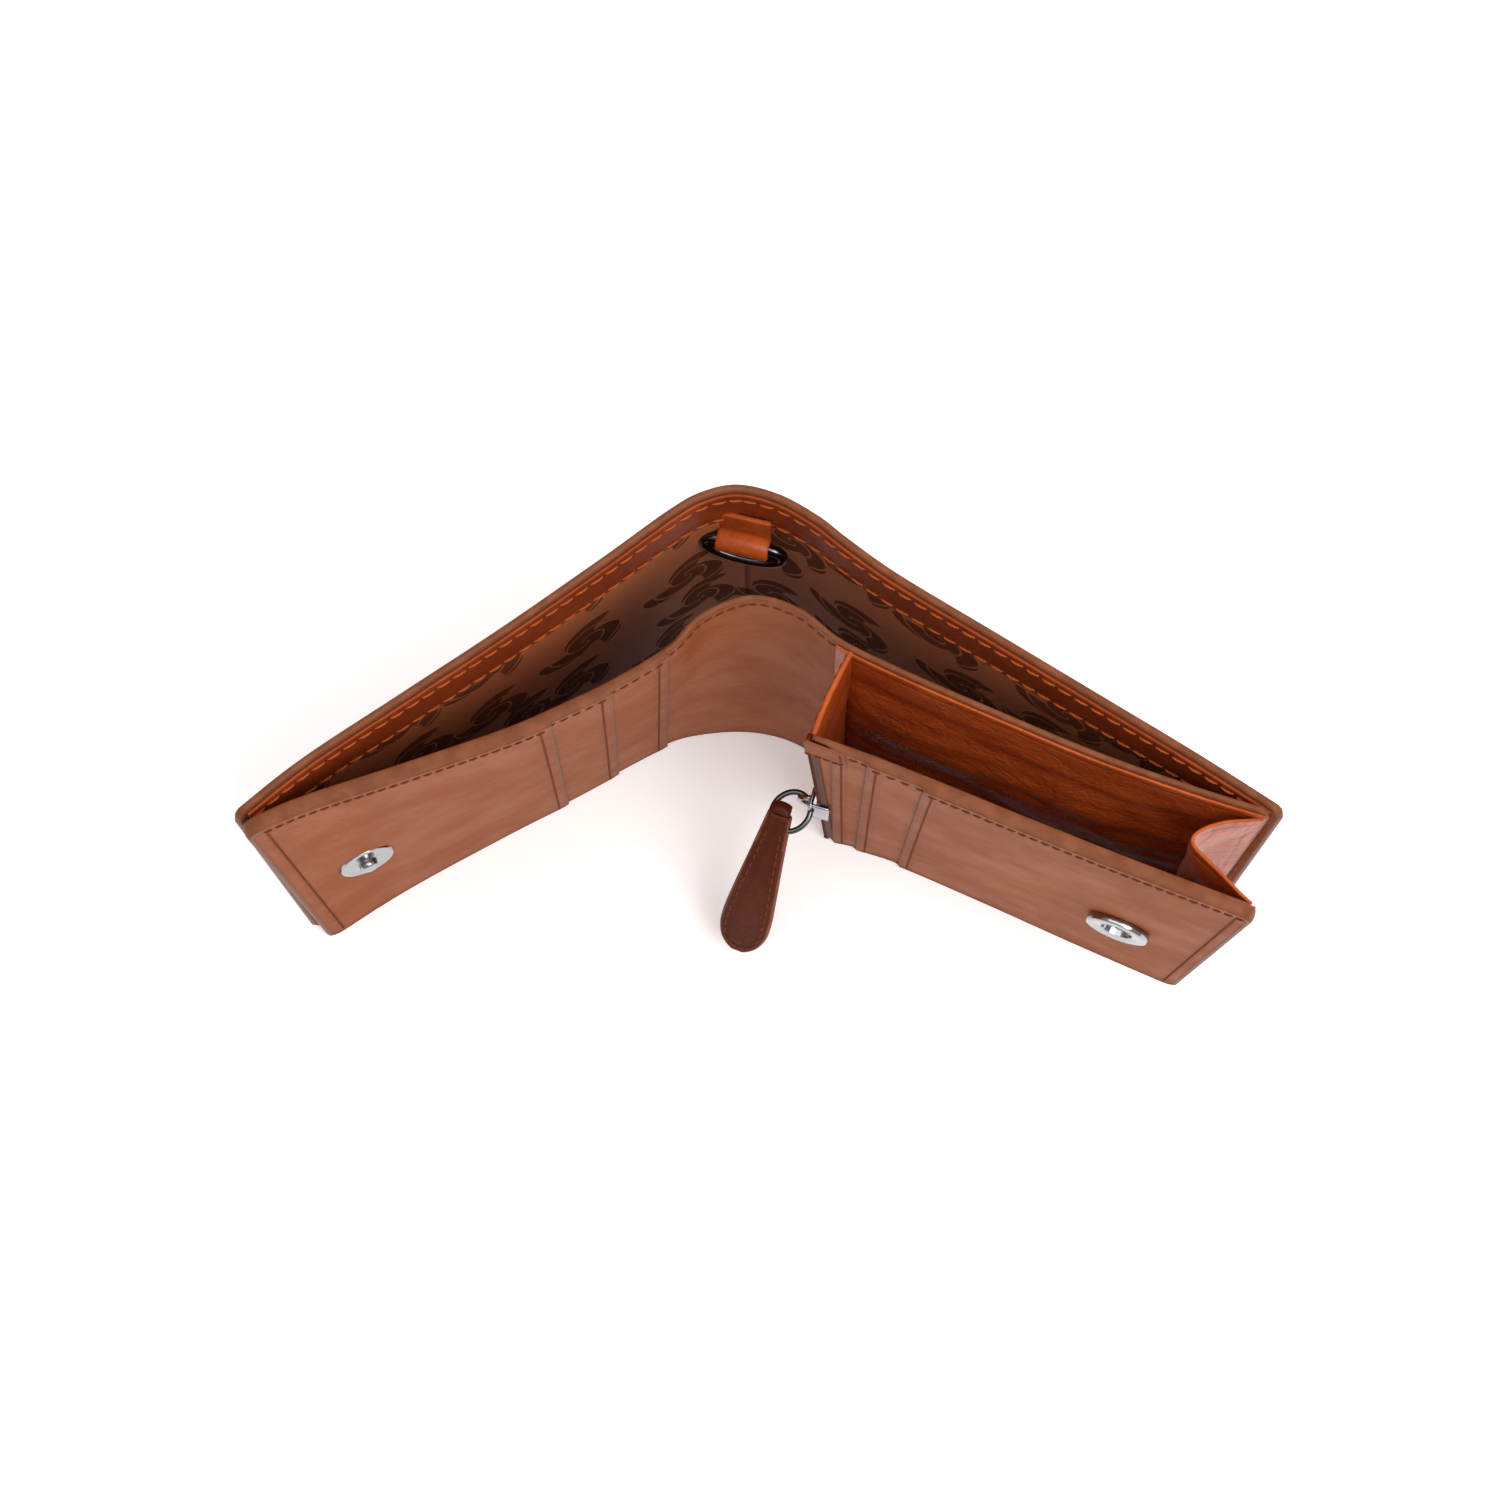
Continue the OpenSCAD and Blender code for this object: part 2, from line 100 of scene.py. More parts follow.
class Course:
    """A smooth line in plan, measured along itself from where it crosses X = 0."""

    def __init__(self, points, steps=24):
        p = np.array(points, float)
        p = np.vstack([2 * p[0] - p[1], p, 2 * p[-1] - p[-2]])
        t = np.linspace(0, 1, steps, endpoint=False)[:, None]
        runs = []
        for i in range(1, len(p) - 2):
            a, b, c, d = p[i - 1:i + 3]
            runs.append(0.5 * (2 * b + (c - a) * t + (2 * a - 5 * b + 4 * c - d) * t ** 2
                               + (3 * b - a - 3 * c + d) * t ** 3))
        self.line = np.vstack(runs + [p[-2]]) + [0, DATUM_Y]
        run = np.r_[0, np.cumsum(np.linalg.norm(np.diff(self.line, axis=0), axis=1))]
        self.run = run - np.interp(0, self.line[:, 0], run)

    def at(self, s):
        s = np.asarray(s, float)
        inside = np.clip(s, self.run[0], self.run[-1])
        place = np.stack([np.interp(inside, self.run, self.line[:, 0]),
                          np.interp(inside, self.run, self.line[:, 1])], -1)
        first, last = self.line[1] - self.line[0], self.line[-1] - self.line[-2]
        beyond = (s - inside)[..., None]
        return (place + np.minimum(beyond, 0) * first / np.linalg.norm(first)
                + np.maximum(beyond, 0) * last / np.linalg.norm(last))

    def along(self, s):
        step = self.at(np.asarray(s) + 0.4) - self.at(np.asarray(s) - 0.4)
        return step / np.maximum(np.linalg.norm(step, axis=-1, keepdims=True), 1e-9)

    def ends(self):
        return self.run[0], self.run[-1]


class Wall:
    """An upright surface ruled between a lower and an upper course. s runs along it,
    z is the height and d the distance towards the wallet's open side, all in mm."""

    def __init__(self, bottom, top):
        self.bottom, self.top = bottom, top

    def frame_at(self, s, z):
        k = (np.asarray(z, float) / HEIGHT)[..., None]
        foot = (1 - k) * self.bottom.at(s) + k * self.top.at(s)
        along = (1 - k) * self.bottom.along(s) + k * self.top.along(s)
        along /= np.linalg.norm(along, axis=-1, keepdims=True)
        out = np.stack([along[..., 1], -along[..., 0]], -1)
        return foot, along, out

    def point(self, s, z, d):
        s, z, d = np.broadcast_arrays(np.asarray(s, float), np.asarray(z, float),
                                      np.asarray(d, float))
        foot, _, out = self.frame_at(s, z)
        xy = foot + out * d[..., None]
        return np.concatenate([xy, z[..., None]], -1)


COVER = Wall(Course(COVER_COURSE), Course(COVER_COURSE))
DIVIDER = Wall(Course(DIVIDER_BOTTOM), Course(DIVIDER_TOP))
COVER_ENDS = COVER.top.ends()
DIVIDER_ENDS = (max(DIVIDER.top.ends()[0], DIVIDER.bottom.ends()[0]) + 0.3,
                min(DIVIDER.top.ends()[1], DIVIDER.bottom.ends()[1]) - 0.3)

# ---------------------------------------------------------------- mesh helpers


def new_object(name, vertices, faces, materials=(), smooth=True, uvs=None, rims=None,
               indices=None, merge=True):
    """A mesh object at the origin from points in mm. Doubles are merged and faces turned out."""
    mesh = bpy.data.meshes.new(name)
    mesh.from_pydata((np.asarray(vertices, float) * MM).tolist(), [], [list(f) for f in faces])
    if rims is not None:
        mesh.attributes.new("rim", "FLOAT", "POINT").data.foreach_set(
            "value", np.asarray(rims, np.float32))
    if uvs is not None:
        layer = mesh.uv_layers.new(name="flat")
        corner_vertex = np.zeros(len(mesh.loops), np.int32)
        mesh.loops.foreach_get("vertex_index", corner_vertex)
        layer.data.foreach_set("uv", np.asarray(uvs, np.float32)[corner_vertex].ravel())
    for material in materials:
        mesh.materials.append(material)
    if indices is not None:
        mesh.polygons.foreach_set("material_index", np.asarray(indices, np.int32))
    if merge:
        bm = bmesh.new()
        bm.from_mesh(mesh)
        bmesh.ops.remove_doubles(bm, verts=bm.verts, dist=2e-6)
        bmesh.ops.dissolve_degenerate(bm, edges=bm.edges, dist=1e-7)
        bmesh.ops.recalc_face_normals(bm, faces=bm.faces)
        bm.to_mesh(mesh)
        bm.free()
    if smooth:
        mesh.shade_smooth()
    obj = bpy.data.objects.new(name, mesh)
    bpy.context.scene.collection.objects.link(obj)
    return obj


def closed_grid(ns, nz):
    """Faces of a closed sheet: two grids of ns by nz points, joined along all four sides."""
    index = np.arange(ns * nz).reshape(ns, nz)
    other = index + ns * nz
    faces = np.stack([index[:-1, :-1], index[1:, :-1], index[1:, 1:], index[:-1, 1:]],
                     -1).reshape(-1, 4)
    backs = np.stack([other[:-1, :-1], other[:-1, 1:], other[1:, 1:], other[1:, :-1]],
                     -1).reshape(-1, 4)
    sides = []
    for line, far in ((index[:, 0], other[:, 0]), (index[:, -1], other[:, -1]),
                      (index[0], other[0]), (index[-1], other[-1])):
        sides.append(np.stack([line[:-1], far[:-1], far[1:], line[1:]], -1))
    return np.vstack([faces, backs] + sides)


def spaced(low, high, radius, round_low, round_high, step):
    """Grid lines from low to high, close together where an end is rounded."""
    shares = np.array([0, 0.03, 0.12, 0.3, 0.6, 1.0, 1.8])
    first = low + radius * shares if round_low else np.array([low])
    last = high - radius * shares[::-1] if round_high else np.array([high])
    count = max(2, int((last[0] - first[-1]) / step))
    return np.r_[first, np.linspace(first[-1], last[0], count + 1)[1:-1], last]


def leather_sheet(name, wall, s_range, z_range, back, front, materials, rounded=(1, 1, 1, 1),
                  corners=(0, 0), step=1.6, z_step=2.4, relief=None, rim_width=0.0):
    """A closed sheet on a wall. rounded says which of its ends in s and z have soft edges,
    and materials[1], if given, paints the faces within rim_width of such an edge."""
    (s0, s1), (z0, z1) = s_range, z_range
    half = (front - back) / 2
    radius = half
    rows = spaced(z0, z1, radius, rounded[2], rounded[3], z_step)
    lines = spaced(0, 1, radius / (s1 - s0), rounded[0], rounded[1], step / (s1 - s0))

    def inset(z, corner):
        if not corner:
            return np.zeros_like(z)
        near = np.clip(corner - np.minimum(z - z0, z1 - z), 0, corner)
        return corner - np.sqrt(corner ** 2 - near ** 2)

    low, high = s0 + inset(rows, corners[0]), s1 - inset(rows, corners[1])
    s = low[None] + lines[:, None] * (high - low)[None]
    z = np.broadcast_to(rows[None], s.shape)
    far = np.full(s.shape, 1e3)
    rim = np.minimum.reduce([
        s - low[None] if rounded[0] else far, high[None] - s if rounded[1] else far,
        z - z0 if rounded[2] else far, z1 - z if rounded[3] else far])
    k = np.sqrt(np.clip(1 - (1 - np.minimum(rim / radius, 1)) ** 2, 0, 1))
    middle = (front + back) / 2
    lift = relief(s, z) if relief else 0
    front_points = wall.point(s, z, middle + half * k + lift)
    back_points = wall.point(s, z, middle - half * k + lift)
    vertices = np.vstack([front_points.reshape(-1, 3), back_points.reshape(-1, 3)])
    faces = closed_grid(*s.shape)
    rims = np.tile(rim.ravel(), 2)
    uvs = np.tile(np.stack([s.ravel() * 0.01, z.ravel() * 0.01], -1), (2, 1))
    indices = None
    if len(materials) > 1:
        indices = (rims[faces].max(1) < rim_width).astype(int)
    return new_object(name, vertices, faces, materials, uvs=uvs, rims=rims, indices=indices)


def outline_path(s_range, z_range, corner, which, step=0.8):
    """Points and outward directions along part of a rounded outline. which is the letters
    of its sides in order, from T, E (end at the high or low s), B."""
    s0, s1 = s_range
    z0, z1 = z_range
    side = 1 if s1 > s0 else -1
    points, outs = [], []

    def add(s, z, os, oz):
        points.append((s, z))
        outs.append((os, oz))

    length = abs(s1 - s0) - (corner if "E" in which else 0)
    if "T" in which:
        for t in np.linspace(0, length, max(2, int(length / step))):
            add(s0 + side * t, z1, 0, 1)
    if "E" in which:
        if "T" in which:
            for a in np.linspace(0, math.pi / 2, 7)[1:-1]:
                add(s1 - side * corner * (1 - math.sin(a)), z1 - corner * (1 - math.cos(a)),
                    side * math.sin(a), math.cos(a))
        top = z1 - (corner if "T" in which else 0)
        low = z0 + (corner if "B" in which else 0)
        for t in np.linspace(0, 1, max(2, int((top - low) / (step * 2)))):
            add(s1, top + (low - top) * t, side, 0)
        if "B" in which:
            for a in np.linspace(0, math.pi / 2, 7)[1:-1]:
                add(s1 - side * corner * (1 - math.cos(a)), z0 + corner * (1 - math.sin(a)),
                    side * math.cos(a), -math.sin(a))
    if "B" in which:
        for t in np.linspace(0, length, max(2, int(length / step))):
            add(s1 - side * ((corner if "E" in which else 0) + t), z0, 0, -1)
    return np.array(points), np.array(outs)


def edge_bead(name, wall, path, back, front, material, reach=0.7, swell=0.45, gap=0.06):
    """A painted bead over a stack of layers. back and front give d at each (s, z)."""
    points, outs = path
    turns = np.linspace(-math.pi / 2, math.pi / 2, 9)
    rings = []
    for (s, z), (os, oz) in zip(points, outs):
        d0, d1 = back(s, z) - gap, front(s, z) + gap
        middle, half = (d0 + d1) / 2, (d1 - d0) / 2
        section = [(d0, -reach)]
        section += [(middle + half * math.sin(a), swell * math.cos(a) - swell * 0.4) for a in turns]
        section += [(d1, -reach)]
        rings.append([(s + os * o, z + oz * o, d) for d, o in section])
    rings = np.array(rings)
    vertices = wall.point(rings[..., 0], rings[..., 1], rings[..., 2])
    count, around = rings.shape[:2]
    faces = []
    for i in range(count - 1):
        for j in range(around):
            k = (j + 1) % around
            faces.append([i * around + j, (i + 1) * around + j,
                          (i + 1) * around + k, i * around + k])
    faces += [list(range(around)), [(count - 1) * around + j for j in range(around)][::-1]]
    return new_object(name, vertices.reshape(-1, 3), faces, [material],
                      rims=np.zeros(count * around))


def tube(name, centres, radii, material, sides=16, closed=False, flat=1.0, up=(0, 0, 1)):
    """A closed round tube through points in mm, with a radius at each."""
    c = np.array(centres, float)
    n = len(c)
    if closed:
        tangent = np.roll(c, -1, 0) - np.roll(c, 1, 0)
    else:
        tangent = np.gradient(c, axis=0)
    tangent /= np.linalg.norm(tangent, axis=1, keepdims=True)
    side = np.cross(tangent, np.array(up, float))
    side /= np.maximum(np.linalg.norm(side, axis=1, keepdims=True), 1e-9)
    over = np.cross(side, tangent)
    angles = np.linspace(0, 2 * math.pi, sides, endpoint=False)
    r = np.broadcast_to(np.asarray(radii, float), (n,))
    v = (c[:, None] + r[:, None, None] * (np.cos(angles)[None, :, None] * side[:, None]
         + flat * np.sin(angles)[None, :, None] * over[:, None]))
    faces = []
    for i in range(n if closed else n - 1):
        k = (i + 1) % n
        for j in range(sides):
            m = (j + 1) % sides
            faces.append([i * sides + j, i * sides + m, k * sides + m, k * sides + j])
    if not closed:
        faces += [list(range(sides)), [(n - 1) * sides + j for j in range(sides)]]
    return new_object(name, v.reshape(-1, 3), faces, [material])


def lathe(name, profile, origin, axis, material, sides=64):
    """A turned piece with closed ends: profile is (radius, height along axis) in mm."""
    axis = np.array(axis, float) / np.linalg.norm(axis)
    side = np.cross(axis, [0, 0, 1.0])
    side /= np.linalg.norm(side)
    over = np.cross(axis, side)
    angles = np.linspace(0, 2 * math.pi, sides, endpoint=False)
    v, n = [], len(profile)
    for radius, height in profile:
        v.append(np.array(origin) + axis * height
                 + radius * (np.cos(angles)[:, None] * side + np.sin(angles)[:, None] * over))
    faces = []
    for i in range(n - 1):
        for j in range(sides):
            m = (j + 1) % sides
            faces.append([i * sides + j, (i + 1) * sides + j, (i + 1) * sides + m, i * sides + m])
    faces += [list(range(sides)), [(n - 1) * sides + j for j in range(sides)]]
    obj = new_object(name, np.vstack(v), faces, [material])
    sharpen(obj)
    return obj


def sharpen(obj, angle=38):
    """Creases stay crisp: edges steeper than angle are marked sharp."""
    bm = bmesh.new()
    bm.from_mesh(obj.data)
    for edge in bm.edges:
        if len(edge.link_faces) == 2 and edge.calc_face_angle(0) > math.radians(angle):
            edge.smooth = False
    bm.to_mesh(obj.data)
    bm.free()


def join(name, parts):
    """Several mesh objects as one piece."""
    bm = bmesh.new()
    materials = []
    for part in parts:
        before = len(bm.faces)
        bm.from_mesh(part.data)
        bm.faces.ensure_lookup_table()
        slots = list(part.data.materials)
        for material in slots:
            if material not in materials:
                materials.append(material)
        for face in bm.faces[before:]:
            face.material_index = materials.index(slots[face.material_index]) if slots else 0
    mesh = bpy.data.meshes.new(name)
    bm.to_mesh(mesh)
    bm.free()
    for material in materials:
        mesh.materials.append(material)
    for part in parts:
        bpy.data.objects.remove(part)
    obj = bpy.data.objects.new(name, mesh)
    bpy.context.scene.collection.objects.link(obj)
    return obj


def rounded_block(name, centre, axes, size, bevel, material, segments=3):
    """A box with softened edges, turned to the given axes."""
    bm = bmesh.new()
    bmesh.ops.create_cube(bm, size=1)
    matrix = Matrix([[axes[j][i] * size[j] * MM for j in range(3)] + [centre[i] * MM]
                     for i in range(3)] + [[0, 0, 0, 1]])
    bmesh.ops.transform(bm, matrix=matrix, verts=bm.verts)
    bmesh.ops.bevel(bm, geom=bm.edges, offset=bevel * MM, segments=segments, affect="EDGES",
                    profile=0.5)
    bmesh.ops.recalc_face_normals(bm, faces=bm.faces)
    mesh = bpy.data.meshes.new(name)
    bm.to_mesh(mesh)
    bm.free()
    mesh.materials.append(material)
    mesh.shade_smooth()
    obj = bpy.data.objects.new(name, mesh)
    bpy.context.scene.collection.objects.link(obj)
    sharpen(obj, 50)
    return obj


def in_frame(x, y, z):
    """A point in mm measured from the fold datum, moved into the frame."""
    return np.array([x, y + DATUM_Y, z], float)


# ---------------------------------------------------------------- node helpers


class Nodes:
    """Adds nodes to a tree and links them, left to right."""

    def __init__(self, tree):
        self.tree = tree
        self.count = 0

    def add(self, kind, inputs=None, **settings):
        node = self.tree.nodes.new(kind)
        self.count += 1
        node.location = (180 * (self.count % 12), -220 * (self.count // 12))
        for key, value in settings.items():
            setattr(node, key, value)
        for key, value in (inputs or {}).items():
            socket = node.inputs[key]
            if isinstance(value, bpy.types.NodeSocket):
                self.tree.links.new(value, socket)
            else:
                socket.default_value = value
        return node

    def math(self, operation, a, b=None, c=None, clamp=False):
        inputs = {i: v for i, v in enumerate((a, b, c)) if v is not None}
        return self.add("ShaderNodeMath", inputs, operation=operation, use_clamp=clamp).outputs[0]

    def mix(self, factor, a, b, blend="MIX"):
        node = self.add("ShaderNodeMix", None, data_type="RGBA", blend_type=blend)
        for key, value in ((0, factor), (6, a), (7, b)):
            if isinstance(value, bpy.types.NodeSocket):
                self.tree.links.new(value, node.inputs[key])
            else:
                node.inputs[key].default_value = value
        return node.outputs[2]

    def step(self, value, low, high):
        return self.add("ShaderNodeMapRange", {"Value": value, "From Min": low, "From Max": high},
                        interpolation_type="SMOOTHSTEP").outputs[0]


def new_group(name, inputs, outputs):
    """A shader node group with its sockets, and the ends to link to."""
    tree = bpy.data.node_groups.new(name, "ShaderNodeTree")
    for label, kind, default in inputs:
        socket = tree.interface.new_socket(label, in_out="INPUT", socket_type=kind)
        if default is not None:
            socket.default_value = default
    for label, kind in outputs:
        tree.interface.new_socket(label, in_out="OUTPUT", socket_type=kind)
    nodes = Nodes(tree)
    return tree, nodes, nodes.add("NodeGroupInput"), nodes.add("NodeGroupOutput")


def leather_group():
    """Pebbled grain, soft creases and blotches of leather. Vector is in mm."""
    tree, n, start, end = new_group(
        "Leather grain",
        [("Vector", "NodeSocketVector", None), ("Pebble", "NodeSocketFloat", 1.2),
         ("Crease", "NodeSocketFloat", 0.5), ("Crease scale", "NodeSocketFloat", 0.12)],
        [("Height", "NodeSocketFloat"), ("Blotch", "NodeSocketFloat"),
         ("Crease mask", "NodeSocketFloat")])
    vector = start.outputs["Vector"]
    cells = n.add("ShaderNodeTexVoronoi", {"Vector": vector, "Scale": start.outputs["Pebble"]},
                  feature="SMOOTH_F1")
    fine = n.add("ShaderNodeTexNoise", {"Vector": vector, "Scale": 3.4, "Detail": 3.0})
    folds = n.add("ShaderNodeTexNoise", {"Vector": vector, "Scale": start.outputs["Crease scale"],
                                         "Detail": 5.0, "Roughness": 0.62, "Distortion": 0.6})
    ridge = n.math("ABSOLUTE", n.math("SUBTRACT", folds.outputs["Fac"], 0.5))
    crease = n.step(ridge, 0.0, 0.09)
    blotch = n.add("ShaderNodeTexNoise", {"Vector": vector, "Scale": 0.075, "Detail": 6.0,
                                          "Roughness": 0.6})
    height = n.math("MULTIPLY_ADD", cells.outputs["Distance"], 0.75,
                    n.math("MULTIPLY", fine.outputs["Fac"], 0.25))
    height = n.math("MULTIPLY_ADD", crease, start.outputs["Crease"], height)
    links = tree.links.new
    links(height, end.inputs["Height"])
    links(n.step(blotch.outputs["Fac"], 0.32, 0.68), end.inputs["Blotch"])
    links(crease, end.inputs["Crease mask"])
    return tree


def rim_group():
    """Masks from the distance to an edge: the painted or worn rim, and the pull of a seam."""
    tree, n, start, end = new_group(
        "Rim", [("Vector", "NodeSocketVector", None), ("Width", "NodeSocketFloat", 1.0),
                ("Seam at", "NodeSocketFloat", 2.4)],
        [("Rim", "NodeSocketFloat"), ("Seam", "NodeSocketFloat")])
    rim = n.add("ShaderNodeAttribute", attribute_name="rim").outputs["Fac"]
    wobble = n.add("ShaderNodeTexNoise", {"Vector": start.outputs["Vector"], "Scale": 0.5,
                                          "Detail": 2.0})
    shifted = n.math("MULTIPLY_ADD", wobble.outputs["Fac"], 0.5, n.math("SUBTRACT", rim, 0.25))
    width = start.outputs["Width"]
    mask = n.math("SUBTRACT", 1.0, n.step(shifted, n.math("MULTIPLY", width, 0.5), width))
    away = n.math("SUBTRACT", rim, start.outputs["Seam at"])
    seam = n.math("SUBTRACT", 1.0, n.step(n.math("ABSOLUTE", away), 0.0, 0.9))
    tree.links.new(mask, end.inputs["Rim"])
    tree.links.new(seam, end.inputs["Seam"])
    return tree


def weave_group():
    """A woven lining with a scroll of leaves, from flat coordinates in mm."""
    tree, n, start, end = new_group(
        "Woven lining",
        [("Vector", "NodeSocketVector", None), ("Threads", "NodeSocketFloat", 2.2),
         ("Motif size", "NodeSocketFloat", 19.0)],
        [("Height", "NodeSocketFloat"), ("Thread", "NodeSocketFloat"),
         ("Motif", "NodeSocketFloat")])
    parts = n.add("ShaderNodeSeparateXYZ", {"Vector": start.outputs["Vector"]})
    turn = n.math("MULTIPLY", start.outputs["Threads"], math.pi)
    warp = n.math("SINE", n.math("MULTIPLY", parts.outputs["X"], turn))
    weft = n.math("SINE", n.math("MULTIPLY", parts.outputs["Y"], turn))
    thread = n.math("MULTIPLY_ADD", n.math("MULTIPLY", warp, weft), 0.5, 0.5)
    scale = n.math("DIVIDE", 1.0, start.outputs["Motif size"])
    cell = n.add("ShaderNodeTexVoronoi", {"Vector": start.outputs["Vector"], "Scale": scale,
                                          "Randomness": 0.55}, voronoi_dimensions="2D")
    local = n.add("ShaderNodeVectorMath", {0: n.add(
        "ShaderNodeVectorMath", {0: start.outputs["Vector"], 1: cell.outputs["Position"]},
        operation="SUBTRACT").outputs[0], "Scale": scale}, operation="SCALE")
    place = n.add("ShaderNodeSeparateXYZ", {"Vector": local.outputs[0]})
    radius = cell.outputs["Distance"]
    angle = n.math("ARCTAN2", place.outputs["Y"], place.outputs["X"])
    curl = n.math("MULTIPLY_ADD", radius, 9.0, n.math("MULTIPLY", angle, 3.0))
    petal = n.math("MULTIPLY_ADD", n.math("SINE", curl), 0.16, 0.36)
    leaf = n.math("SUBTRACT", 1.0, n.step(n.math("SUBTRACT", radius, petal), -0.012, 0.012))
    vein = n.step(n.math("ABSOLUTE", n.math("SINE", n.math("MULTIPLY_ADD", radius, 16.0, angle))),
                  0.12, 0.3)
    motif = n.math("MULTIPLY", leaf, vein)
    links = tree.links.new
    links(n.math("MULTIPLY_ADD", motif, 0.6, thread), end.inputs["Height"])
    links(thread, end.inputs["Thread"])
    links(motif, end.inputs["Motif"])
    return tree


class Materials:
    """Builds each finish once, from the colours in the scene's settings."""

    def __init__(self):
        self.made = {}

    def begin(self, name, roughness, metallic=0.0, **settings):
        material = bpy.data.materials.new(name)
        material.use_nodes = True
        material.node_tree.nodes.clear()
        n = Nodes(material.node_tree)
        shader = n.add("ShaderNodeBsdfPrincipled", {"Roughness": roughness, "Metallic": metallic})
        for key, value in settings.items():
            shader.inputs[key.replace("_", " ")].default_value = value
        out = n.add("ShaderNodeOutputMaterial")
        material.node_tree.links.new(shader.outputs[0], out.inputs[0])
        coords = n.add("ShaderNodeTexCoord")
        scaled = n.add("ShaderNodeVectorMath", {0: coords.outputs["Object"], "Scale": 1000.0},
                       operation="SCALE")
        self.made[name] = material
        return material, n, shader, scaled.outputs[0], coords

    def finish(self, n, shader, colour, height, strength, distance, roughness=None):
        link = n.tree.links.new
        link(colour, shader.inputs["Base Color"])
        bump = n.add("ShaderNodeBump", {"Height": height, "Strength": strength,
                                        "Distance": distance})
        link(bump.outputs[0], shader.inputs["Normal"])
        if roughness is not None:
            link(roughness, shader.inputs["Roughness"])

    def group(self, n, name, **inputs):
        node = n.add("ShaderNodeGroup", node_tree=bpy.data.node_groups[name])
        for key, value in inputs.items():
            socket = node.inputs[key.replace("_", " ")]
            if isinstance(value, bpy.types.NodeSocket):
                n.tree.links.new(value, socket)
            else:
                socket.default_value = value
        return node

    def leather(self, name, colour, dark, light, roughness, spread=0.1, pebble=1.2, crease=0.5,
                crease_scale=0.12, bump=0.35, coat=0.0, rim_colour=None, rim_width=0.0, seam=2.4,
                crease_shade=0.35, shine=0.07):
        material, n, shader, vector, _ = self.begin(
            name, roughness, Coat_Weight=coat, Coat_Roughness=0.25, Specular_IOR_Level=shine)
        grain = self.group(n, "Leather grain", Vector=vector, Pebble=pebble, Crease=crease,
                           Crease_scale=crease_scale)
        rim = self.group(n, "Rim", Vector=vector, Width=max(rim_width, 0.05), Seam_at=seam)
        tone = n.mix(grain.outputs["Blotch"], dark, light)
        tone = n.mix(0.55, colour, tone)
        # Along each crease line the tone is pulled towards the dark colour: painted shade in the
        # creases.
        tone = n.mix(n.math("MULTIPLY", n.math("SUBTRACT", 1.0, grain.outputs["Crease mask"]),
                            crease_shade), tone, dark)
        # Along the seam groove the tone is pulled a quarter of the way to the dark colour: painted
        # shade in the groove.
        tone = n.mix(n.math("MULTIPLY", rim.outputs["Seam"], 0.25), tone, dark)
        if rim_colour:
            tone = n.mix(rim.outputs["Rim"], tone, rim_colour)
        height = n.math("MULTIPLY_ADD", rim.outputs["Seam"], -0.9, grain.outputs["Height"])
        rough = n.math("MULTIPLY_ADD", grain.outputs["Blotch"], -spread, roughness + spread / 2)
        self.finish(n, shader, tone, height, bump, 0.0004, rough)
        return material

    def edge_paint(self, colour, dark):
        material, n, shader, vector, _ = self.begin("Edge paint", 0.42, Specular_IOR_Level=0.1)
        waves = n.add("ShaderNodeTexNoise", {"Vector": vector, "Scale": 0.35, "Detail": 4.0})
        tone = n.mix(n.step(waves.outputs["Fac"], 0.35, 0.7), dark, colour)
        self.finish(n, shader, tone, waves.outputs["Fac"], 0.25, 0.0003,
                    n.math("MULTIPLY_ADD", waves.outputs["Fac"], 0.2, 0.32))
        return material

    def cloth(self, name, dark, light, threads=2.2, motif=19.0, strength=1.0):
        material, n, shader, _, coords = self.begin(name, 0.7, Specular_IOR_Level=0.1)
        flat = n.add("ShaderNodeVectorMath", {0: coords.outputs["UV"], "Scale": 100.0},
                     operation="SCALE")
        weave = self.group(n, "Woven lining", Vector=flat.outputs[0], Threads=threads,
                           Motif_size=motif)
        motif_mask = n.math("MULTIPLY", weave.outputs["Motif"], strength)
        tone = n.mix(motif_mask, light, dark)
        tone = n.mix(n.math("MULTIPLY", weave.outputs["Thread"], 0.45), tone, dark)
        rough = n.math("MULTIPLY_ADD", motif_mask, 0.28, 0.5)
        self.finish(n, shader, tone, weave.outputs["Height"], 0.5, 0.0002, rough)
        return material

    def thread(self, name, colour, dark):
        material, n, shader, vector, _ = self.begin(name, 0.62, Specular_IOR_Level=0.1)
        twist = n.add("ShaderNodeTexWave", {"Vector": vector, "Scale": 1.6, "Distortion": 1.5},
                      bands_direction="DIAGONAL")
        tone = n.mix(n.math("MULTIPLY", twist.outputs["Fac"], 0.6), colour, dark)
        self.finish(n, shader, tone, twist.outputs["Fac"], 0.6, 0.0001)
        return material

    def metal(self, name, colour, roughness, scratch=0.06):
        material, n, shader, vector, _ = self.begin(name, roughness, 1.0)
        marks = n.add("ShaderNodeTexNoise", {"Vector": vector, "Scale": 2.5, "Detail": 6.0,
                                             "Roughness": 0.7})
        haze = n.add("ShaderNodeTexNoise", {"Vector": vector, "Scale": 0.4, "Detail": 2.0})
        tone = n.mix(n.math("MULTIPLY", haze.outputs["Fac"], 0.25), colour,
                     tuple(c * 0.6 for c in colour[:3]) + (1.0,))
        rough = n.math("MULTIPLY_ADD", marks.outputs["Fac"], scratch, roughness - scratch / 2)
        self.finish(n, shader, tone, marks.outputs["Fac"], 0.08, 0.00005, rough)
        return material


MATERIALS = Materials()


def finish_of(name):
    """The material of that name, which the finishes operator has made."""
    return MATERIALS.made[name]


# ---------------------------------------------------------------- rows of stitches and teeth


